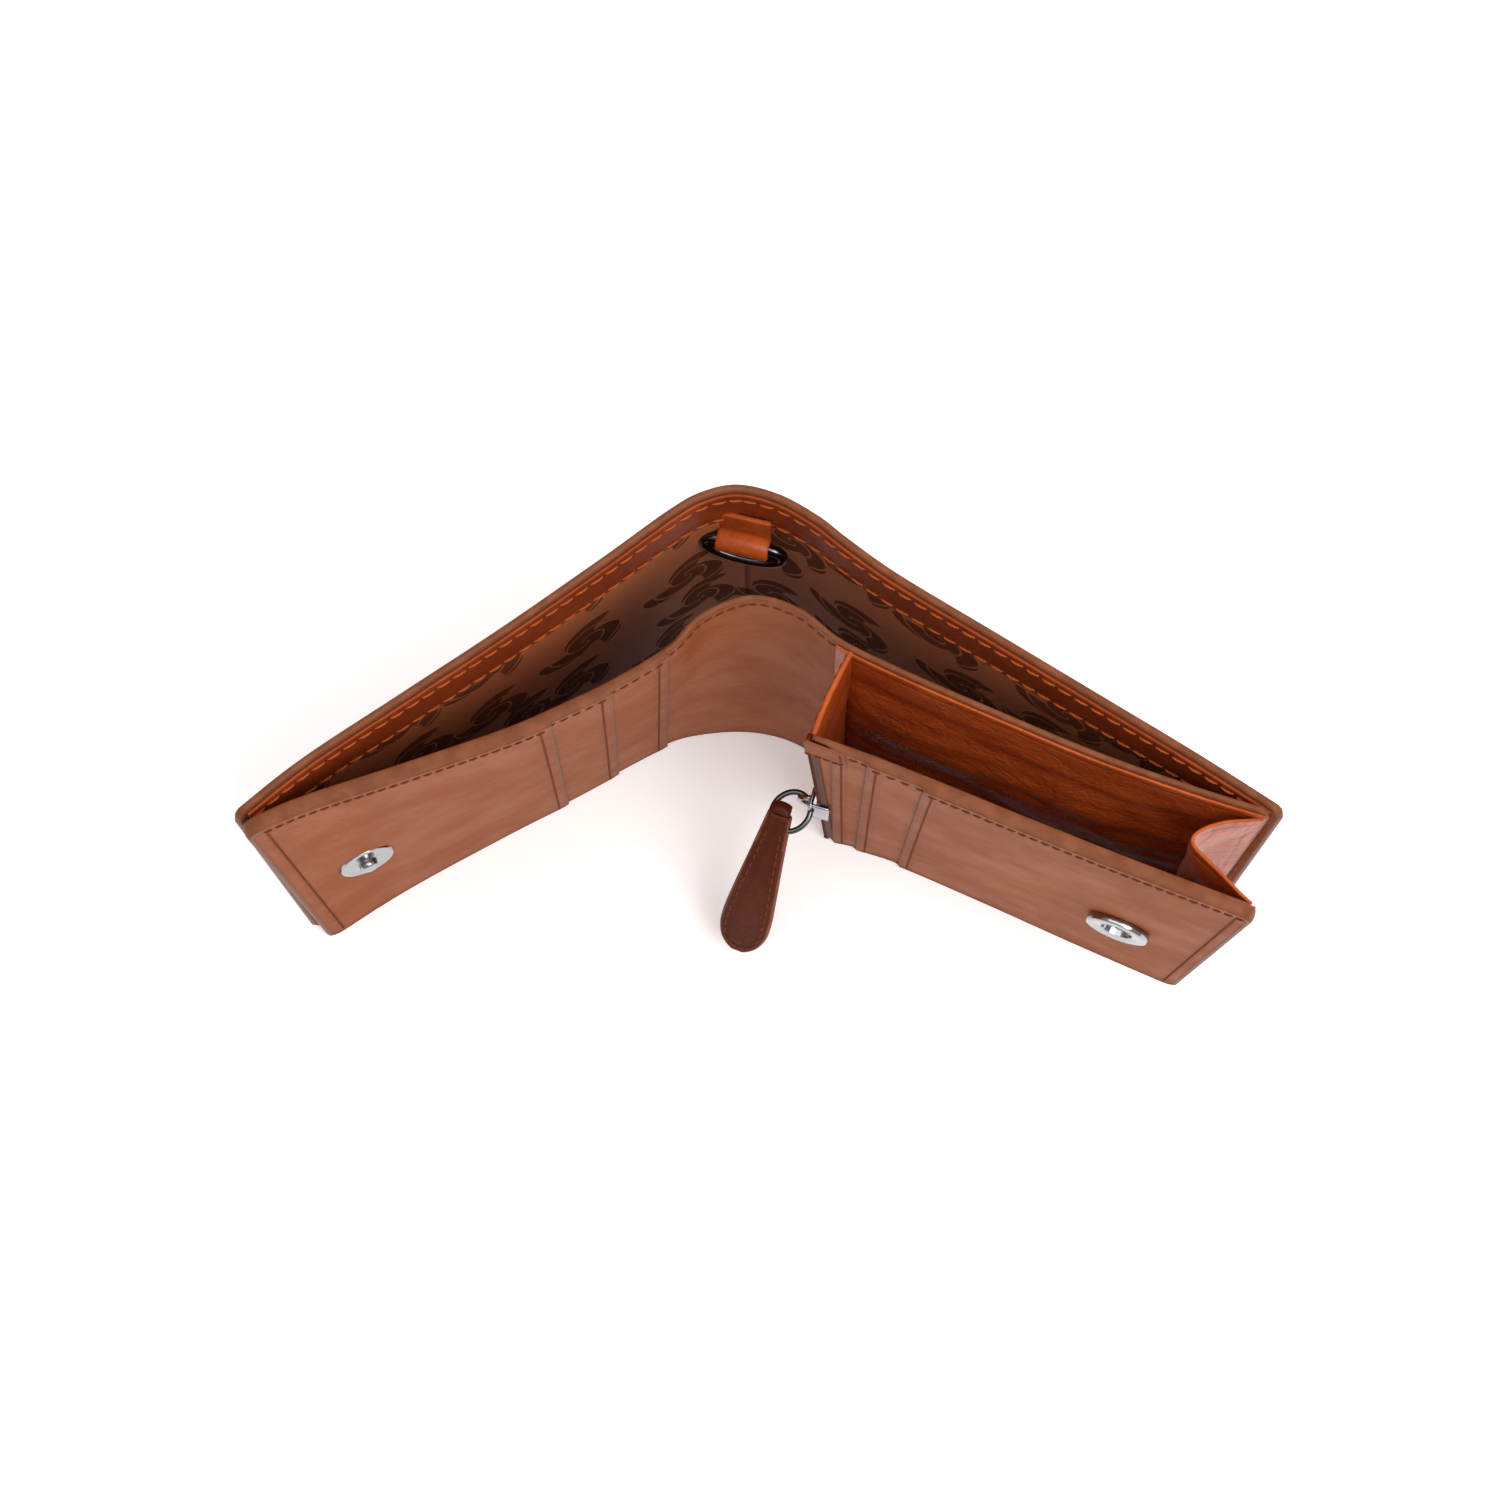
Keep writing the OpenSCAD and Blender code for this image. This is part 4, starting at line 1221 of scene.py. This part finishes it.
class WALLET_OT_card_panel(bpy.types.Operator):
    """Build the card panel: its glossy lining, backing, stepped slots, seams and edge paint"""
    bl_idname = "wallet.card_panel"
    bl_label = "Card panel"

    def execute(self, context):
        cut = sizes()
        lining = leather_sheet("card_panel_lining", CARD, (0.3, CARD.length - 0.3),
                               (1, HEIGHT - 0.5), 0, CARD_LINING - LAYER,
                               [finish_of("Pocket leather")], z_step=1.6)
        flatten_card(lining)
        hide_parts("pocket_front_lining", "zip_pocket_lining")
        form = stitch_form(cut.fine_pitch * STITCH_SHARE, cut.fine_w)
        lines = []
        for k, (name, start, lean) in enumerate(CARD_LAYERS):
            wall = LeaningWall(CARD, start, lean)
            back = CARD_LINING + LAYER + k * (cut.pocket_t + LAYER)
            face = back + cut.pocket_t + SEAM_LIFT
            obj = leather_sheet("card_leather_" + name, wall, (0, CARD.length - start),
                                (0.2, HEIGHT - 0.2), back, back + cut.pocket_t,
                                [finish_of("Tan leather")], corners=(0.8, cut.corner_r))
            flatten_card(obj)
            node = "card_backing" if name == "backing" else "card_" + name
            extra = ["socket_backing", "snap_magnet"] if name == "front" else []
            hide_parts(node, *extra)
            if k:
                lines.append(seam_line(wall, [(2.0, HEIGHT - 2.4), (2.0, 2)], face))
                stop = (CARD_LAYERS[k + 1][1] + CARD_LAYERS[k + 1][2] - start - lean
                        if k < 3 else CARD.length - start - 2)
                lines.append(seam_line(wall, [(2.0, HEIGHT - 2.4), (stop, HEIGHT - 2.4)], face))
        lines.append(seam_line(wall, [(CARD.length - start - 2.6, HEIGHT - 3),
                                      (CARD.length - start - 2.6, 3)], face))
        seam = rows_on("card_panel_seams", lines, form, cut.fine_pitch, finish_of("Panel thread"),
                       slant=0.1)
        flatten_card(seam)
        bpy.data.objects.remove(form)
        path = outline_path((0.2, CARD.length), (0, HEIGHT), cut.corner_r, "TEB")
        bead = edge_bead("card_panel_edge_paint", CARD, path, lambda s, h: 0.0, card_front,
                         finish_of("Edge paint"))
        flatten_card(bead)
        return {"FINISHED"}


ZIP_D = 0.4                      # middle of the zip, in front of the card wall's back
ZIP_EDGE = -0.55                  # the teeth stand this far out of the panel's edge
SLIDER_Z = 33.0


class WALLET_OT_zip(bpy.types.Operator):
    """Build the zip: tape, teeth, stops and the leather tab over its upper end"""
    bl_idname = "wallet.zip"
    bl_label = "Zip"

    def execute(self, context):
        cut = sizes()
        face = float(card_front(2, 60))
        tape = leather_sheet("zip_tape_cloth", CARD, (ZIP_EDGE + 0.2, 1.0), (3, HEIGHT - 3),
                             face + 0.0, face + 0.3, [finish_of("Zip tape")], step=0.6)
        flatten_card(tape)
        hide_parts("zip_tapes")
        low, high = 4.0, HEIGHT - 6
        form = tooth_form(1.1, 0.8, 0.62)
        pitch = 1.45
        lines = [seam_line(CARD, [(ZIP_EDGE, low + shift), (ZIP_EDGE, high + shift)], d)
                 for d, shift in ((ZIP_D + 0.42, 0), (ZIP_D - 0.42, pitch / 2))]
        teeth = rows_on("zip_teeth_metal", lines, form, pitch, finish_of("Zip metal"))
        bpy.data.objects.remove(form)
        stops = []
        for level in (low - 1.4, high + 1.8):
            _, along, out = CARD.frame_at(ZIP_EDGE, level)
            axes = [list(along) + [0], list(out) + [0], [0, 0, 1]]
            stops.append(rounded_block("stop", CARD.point(ZIP_EDGE, level, ZIP_D), axes,
                                       (1.1, 2.0, 1.5), 0.25, finish_of("Zip metal")))
        metal = join("zip_metal", [teeth] + stops)
        flatten_card(metal)
        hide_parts("zip_teeth", "zip_stops")

        tab = leather_sheet("zip_end_tab", CARD, (-1.1, 6.2), (HEIGHT - 9.5, HEIGHT + 0.1),
                            face + 0.32, face + 0.85, [finish_of("Tan leather")], step=0.5,
                            corners=(0.8, 0.8), z_step=0.8)
        form = stitch_form(cut.fine_pitch * 0.7, cut.fine_w)
        line = [(-0.4, HEIGHT - 8.4), (5.4, HEIGHT - 8.4), (5.4, HEIGHT - 1.6)]
        seam = rows_on("zip_end_seam", [seam_line(CARD, line, face + 0.87)], form,
                       cut.fine_pitch * 0.8, finish_of("Panel thread"))
        bpy.data.objects.remove(form)
        for obj in (tab, seam):
            flatten_card(obj)
        return {"FINISHED"}


def zip_place():
    """The slider's middle and its axes: along the panel, out of it, and up."""
    _, along, out = CARD.frame_at(ZIP_EDGE, SLIDER_Z)
    return (CARD.point(ZIP_EDGE, SLIDER_Z, ZIP_D), np.append(along, 0), np.append(out, 0),
            np.array([0, 0, 1.0]))


class WALLET_OT_slider(bpy.types.Operator):
    """Build the zip's slider with its bridge"""
    bl_idname = "wallet.slider"
    bl_label = "Slider"

    def execute(self, context):
        centre, along, out, up = zip_place()
        metal = finish_of("Nickel")
        axes = [along, out, up]
        parts = []
        for side in (-1, 1):
            parts.append(rounded_block("wing", centre + out * side * 1.55, axes,
                                       (3.6, 0.75, 8.4), 0.35, metal))
        parts.append(rounded_block("plate", centre - along * 1.75, axes, (0.8, 3.9, 8.8), 0.38,
                                   metal))
        parts.append(rounded_block("nose", centre - along * 0.9 + up * 3.2, axes,
                                   (2.0, 3.4, 1.6), 0.4, metal))
        turns = np.linspace(0, math.pi, 13)
        bridge = [centre - along * (1.9 + 2.3 * math.sin(a)) + up * 2.4 * math.cos(a)
                  for a in turns]
        parts.append(tube("bridge", bridge, 0.55, metal, sides=12, up=out))
        obj = join("zip_slider_metal", parts)
        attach(obj, "zip_slider")
        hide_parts("zip_slider")
        return {"FINISHED"}


def ring_line():
    """The pull ring's centreline: an oval that hangs from the slider's bridge."""
    centre, along, _, _ = zip_place()
    top = centre - along * 3.5
    towards = in_frame(5.2, -21.6, 31.5) - top
    reach = np.linalg.norm(towards)
    towards /= reach
    across = np.cross(towards, [0.35, 0.2, 0.9])
    across /= np.linalg.norm(across)
    middle = top + towards * (reach / 2 + 0.2)
    turns = np.linspace(0, 2 * math.pi, 56, endpoint=False)
    return np.array([middle - towards * (reach / 2 + 0.9) * math.cos(a)
                     + across * 3.3 * math.sin(a) for a in turns]), towards, across


class WALLET_OT_ring(bpy.types.Operator):
    """Build the oval ring that joins the slider to the pull tab"""
    bl_idname = "wallet.ring"
    bl_label = "Pull ring"

    def execute(self, context):
        line, towards, across = ring_line()
        ring = tube("pull_ring_metal", line, 0.55, finish_of("Gunmetal"), sides=14, closed=True,
                    up=np.cross(towards, across))
        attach(ring, "pull_ring")
        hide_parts("pull_ring")
        return {"FINISHED"}


TAB_TOP = (5.2, -20.4, 33.0)
TAB_TIP = (-3.2, -40.2, 6.5)


def tab_half_width(t):
    """Half width of the pull tab at a share t of its length, from neck to tip."""
    return np.interp(t, [0, 0.05, 0.12, 0.3, 0.5, 0.7, 0.82, 0.9, 0.95, 0.985, 1],
                     [2.3, 2.55, 2.75, 3.4, 4.15, 4.8, 4.85, 4.2, 3.2, 1.8, 0.2])


class WALLET_OT_tab(bpy.types.Operator):
    """Build the teardrop leather pull tab, two plies sewn together round the ring"""
    bl_idname = "wallet.tab"
    bl_label = "Pull tab"

    def execute(self, context):
        cut = sizes()
        top, tip = in_frame(*TAB_TOP), in_frame(*TAB_TIP)
        length = np.linalg.norm(tip - top)
        down = (tip - top) / length
        wide = np.cross(down, [0, 0, 1.0])
        wide /= np.linalg.norm(wide)
        face = np.cross(wide, down)
        if face[2] < 0:
            face = -face
        tip_from = 0.86
        turn = np.linspace(0, math.pi / 2, 14)[1:]
        rows = np.r_[np.linspace(0, tip_from, 44), tip_from + 0.14 * np.sin(turn)]
        smooth = np.convolve(np.pad(tab_half_width(rows), 2, "edge"), [0.1, 0.25, 0.3, 0.25, 0.1],
                             "valid")
        smooth[-1] = 0.05
        columns = np.r_[-1, -0.97, -0.9, np.linspace(-0.8, 0.8, 15), 0.9, 0.97, 1]
        grids = []
        width = smooth[:, None] * columns[None]
        rim = np.minimum(smooth[:, None] - np.abs(width), (1 - rows[:, None]) * length)
        half = 1.15
        k = np.sqrt(np.clip(1 - (1 - np.minimum(rim / half, 1)) ** 2, 0, 1))
        pad = 0.22 * np.clip((rim - 1.9) / 1.2, 0, 1)
        bow = 0.9 * np.sin(rows * math.pi)[:, None]
        for sign in (1, -1):
            lift = sign * (half * k * 0.92 + pad) + bow
            grids.append(top + down * (rows * length)[:, None, None] + wide * width[..., None]
                         + face * lift[..., None])
        rims = np.tile(rim.ravel(), 2)
        faces = closed_grid(*grids[0].shape[:2])
        body = new_object("tab_body", np.vstack([g.reshape(-1, 3) for g in grids]), faces,
                          [finish_of("Tab leather"), finish_of("Edge paint")], rims=rims,
                          indices=(rims[faces].max(1) < 0.62).astype(int))
        loop = []
        for a in np.linspace(-0.35 * math.pi, 1.35 * math.pi, 22):
            loop.append(top - down * (1.0 + 1.15 * math.sin(a)) + face * 1.15 * math.cos(a))
        strap = tube("tab_loop", loop, 1.75, finish_of("Tab leather"), sides=14, flat=0.3,
                     up=np.cross(wide, face))
        inside = []
        for t, w in zip(rows, smooth):
            if 0.1 < t < 0.93:
                inside.append((t, w - 1.35))
        path = [(t, w) for t, w in inside] + [(0.955, 0.0)] + [(t, -w) for t, w in inside[::-1]]
        points = [top + down * t * length + wide * w
                  + face * (half * 0.92 + 0.02 + 0.9 * math.sin(t * math.pi)) for t, w in path]
        form = stitch_form(1.5, cut.fine_w)
        seam = rows_on("tab_seam", [(points, [face] * len(points))], form, 1.9,
                       finish_of("Panel thread"))
        bpy.data.objects.remove(form)
        tab = join("pull_tab_leather", [body, strap])
        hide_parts("pull_tab")
        for obj in (tab, seam):
            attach(obj, "pull_tab")
        return {"FINISHED"}


# Where the snap's halves sit, as (s, z) on the divider's left half and on the card panel.
STUD_AT = (-77.0, 44.0)
SOCKET_AT = (59.6, 44.0)
STUD_TIP_UP = 0.1                # the stud leans back by this slope, as its leather does


class WALLET_OT_snap(bpy.types.Operator):
    """Build the magnetic snap: a disc with a post on the left, a thick ring on the right"""
    bl_idname = "wallet.snap"
    bl_label = "Snap"

    def execute(self, context):
        cut = sizes()
        s, level = STUD_AT
        _, _, out = DIVIDER.frame_at(s, level)
        r = cut.stud_d / 2
        face = float(left_front(s)) + 0.03
        profile = [(r - 0.5, 0), (r - 0.1, 0.12), (r, 0.4), (r - 0.12, 0.72), (r - 0.5, 0.84),
                   (r - 1.1, 0.76), (2.1, 0.7), (1.8, 0.8), (1.72, 1.3), (1.68, 1.8),
                   (1.45, 2.1), (1.0, 2.26), (0.4, 2.3)]
        stud = lathe("snap_stud_metal", profile, DIVIDER.point(s, level, face),
                     np.append(out, STUD_TIP_UP), finish_of("Nickel"))
        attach(stud, "divider_left")
        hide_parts("snap_stud")

        s, level = SOCKET_AT
        _, _, out = CARD.frame_at(s, level)
        r = cut.socket_d / 2
        face = float(card_front(s, level)) + 0.03
        profile = [(r - 0.5, 0), (r - 0.1, 0.15), (r, 0.5), (r, 1.3), (r - 0.15, 1.6),
                   (r - 0.6, 1.78), (r - 1.2, 1.7), (3.2, 1.62), (2.9, 1.5), (2.75, 1.0),
                   (2.7, 0.5), (2.6, 0.3), (0.4, 0.3)]
        socket = lathe("snap_socket_metal", profile, CARD.point(s, level, face),
                       np.append(out, 0), finish_of("Nickel"))
        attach(socket, "card_panel")
        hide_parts("snap_socket")
        return {"FINISHED"}


ROLL_AT = (-0.4, 17.3, 76.5)
ROLL_ALONG = (0.965, -0.262, 0.0)


class WALLET_OT_key_ring(bpy.types.Operator):
    """Build the leather loop at the spine and the key ring that it holds"""
    bl_idname = "wallet.key_ring"
    bl_label = "Key ring"

    def execute(self, context):
        centre = in_frame(*ROLL_AT)
        along = np.array(ROLL_ALONG)
        behind = np.cross([0, 0, 1.0], along)
        up = np.array([0, 0, 1.0])
        leather = finish_of("Loop leather")
        half = 4.6
        turns = np.linspace(0, 2 * math.pi, 41)
        section = []
        for a in turns[:-1]:
            section.append(centre + behind * 2.15 * math.cos(a) + up * 2.15 * math.sin(a))
        ends = [(-half, 0.90), (-half + 0.35, 1.0), (half - 0.35, 1.0), (half, 0.90)]
        rings = [[centre + (p - centre) * k + along * x for p in section] for x, k in ends]
        inner = [[centre + (p - centre) * 0.52 + along * x for p in section]
                 for x in (half - 0.05, -half + 0.05)]
        rows = rings + inner
        count = len(section)
        faces = []
        for i in range(len(rows)):
            k = (i + 1) % len(rows)
            for j in range(count):
                m = (j + 1) % count
                faces.append([i * count + j, i * count + m, k * count + m, k * count + j])
        roll = new_object("roll", np.vstack(rows), faces, [leather])
        strap = rounded_block("strap", centre + behind * 1.75 + up * 4.2,
                              [along, behind, up], (2 * half - 0.2, 0.9, 9.5), 0.3, leather)
        loop = join("key_loop_leather", [roll, strap])
        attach(loop, "spine")
        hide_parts("key_loop")

        lean = math.radians(4)
        drop = -up * math.cos(lean) - behind * math.sin(lean)
        wide, r = 7.0, 2.2
        line = [centre + along * x for x in np.linspace(-wide + r, wide - r, 12)]
        line += [centre + along * (wide - r + r * math.sin(a)) + drop * r * (1 - math.cos(a))
                 for a in np.linspace(0, math.pi / 2, 8)[1:]]
        line += [centre + along * wide * math.cos(a) + drop * (2.6 + 4.2 * math.sin(a))
                 for a in np.linspace(0, math.pi, 26)]
        line += [centre - along * (wide - r + r * math.sin(a)) + drop * r * (1 - math.cos(a))
                 for a in np.linspace(math.pi / 2, 0, 8)[:-1]]
        ring = tube("key_ring_metal", line, 0.98, finish_of("Gunmetal"), sides=16, closed=True,
                    up=np.cross(along, drop))
        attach(ring, "key_ring")
        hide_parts("key_ring")
        return {"FINISHED"}


FLOOR_REACH = 1500               # mm from the middle to each side of the floor
FLOOR_DROP = 0.05
CAMERA_TILT, CAMERA_ROLL = math.radians(76), math.radians(-1.27)
CAMERA_DISTANCE = 608.0          # mm from the datum on the floor
CAMERA_LENS = 75.5
# Name, place in m, size in m and power in W of each lamp. All of them point at the origin.
LAMPS = (("Key", (0.3, -0.3, 0.75), 0.45, 4.2), ("Top", (-0.2, 0.1, 0.9), 0.8, 3.6),
         ("Side", (0.75, 0.15, 0.35), 0.4, 1.4))


class WALLET_OT_stage(bpy.types.Operator):
    """Set the floor, the lights and the camera"""
    bl_idname = "wallet.stage"
    bl_label = "Stage"

    def execute(self, context):
        scene = context.scene
        floor = new_object("floor", [(x * FLOOR_REACH, y * FLOOR_REACH, -FLOOR_DROP)
                                     for x, y in ((-1, -1), (1, -1), (1, 1), (-1, 1))],
                           [[0, 1, 2, 3]], merge=False)
        paper = bpy.data.materials.new("Floor paper")
        paper.use_nodes = True
        shader = paper.node_tree.nodes["Principled BSDF"]
        shader.inputs["Base Color"].default_value = (0.93, 0.93, 0.93, 1)
        shader.inputs["Roughness"].default_value = 0.9
        shader.inputs["Emission Color"].default_value = (1, 1, 1, 1)
        shader.inputs["Emission Strength"].default_value = 0.3
        floor.data.materials.append(paper)

        world = bpy.data.worlds.new("Studio")
        world.use_nodes = True
        background = world.node_tree.nodes["Background"]
        background.inputs[0].default_value = (1, 0.985, 0.97, 1)
        background.inputs[1].default_value = 0.42
        scene.world = world
        for name, place, size, power in LAMPS:
            light = bpy.data.lights.new(name, "AREA")
            light.size, light.energy = size, power
            obj = bpy.data.objects.new(name, light)
            obj.location = place
            obj.rotation_euler = (-Vector(place)).to_track_quat("-Z", "Y").to_euler()
            scene.collection.objects.link(obj)

        forward = Vector((0, math.cos(CAMERA_TILT), -math.sin(CAMERA_TILT)))
        right = Vector((1, 0, 0))
        up = right.cross(forward)
        across = math.cos(CAMERA_ROLL) * right + math.sin(CAMERA_ROLL) * up
        above = -math.sin(CAMERA_ROLL) * right + math.cos(CAMERA_ROLL) * up
        place = (Vector((0, DATUM_Y, 0)) - forward * CAMERA_DISTANCE) * MM
        data = bpy.data.cameras.new("Camera")
        data.sensor_width = 36
        data.lens = CAMERA_LENS
        data.clip_start, data.clip_end = 0.01, 20
        camera = bpy.data.objects.new("Camera", data)
        camera.matrix_world = Matrix([[across[i], above[i], -forward[i], place[i]]
                                      for i in range(3)] + [[0, 0, 0, 1]])
        scene.collection.objects.link(camera)
        scene.camera = camera
        scene.view_settings.view_transform = "Standard"
        return {"FINISHED"}


OPERATORS = (WALLET_OT_finishes, WALLET_OT_cover, WALLET_OT_facing, WALLET_OT_linings,
             WALLET_OT_divider, WALLET_OT_left_pockets, WALLET_OT_gusset_pocket,
             WALLET_OT_card_panel, WALLET_OT_zip, WALLET_OT_slider, WALLET_OT_ring,
             WALLET_OT_tab, WALLET_OT_snap, WALLET_OT_key_ring, WALLET_OT_stage)


class WALLET_PT_panel(bpy.types.Panel):
    """The wallet's pieces, sizes and colours"""
    bl_label = "Bifold Wallet"
    bl_idname = "WALLET_PT_panel"
    bl_space_type = "VIEW_3D"
    bl_region_type = "UI"
    bl_category = "Wallet"

    def draw(self, context):
        for operator in OPERATORS:
            self.layout.operator(operator.bl_idname)
        for group in (context.scene.wallet_sizes, context.scene.wallet_colours):
            for key in group.__annotations__:
                self.layout.prop(group, key)


CLASSES = (WalletSizes, WalletColours) + OPERATORS + (WALLET_PT_panel,)


def register():
    for cls in CLASSES:
        bpy.utils.register_class(cls)
    bpy.types.Scene.wallet_sizes = PointerProperty(type=WalletSizes)
    bpy.types.Scene.wallet_colours = PointerProperty(type=WalletColours)


def unregister():
    del bpy.types.Scene.wallet_colours
    del bpy.types.Scene.wallet_sizes
    for cls in reversed(CLASSES):
        bpy.utils.unregister_class(cls)


def main():
    register()
    for operator in OPERATORS:
        group, name = operator.bl_idname.split(".")
        getattr(getattr(bpy.ops, group), name)()


if __name__ == "__main__":
    main()
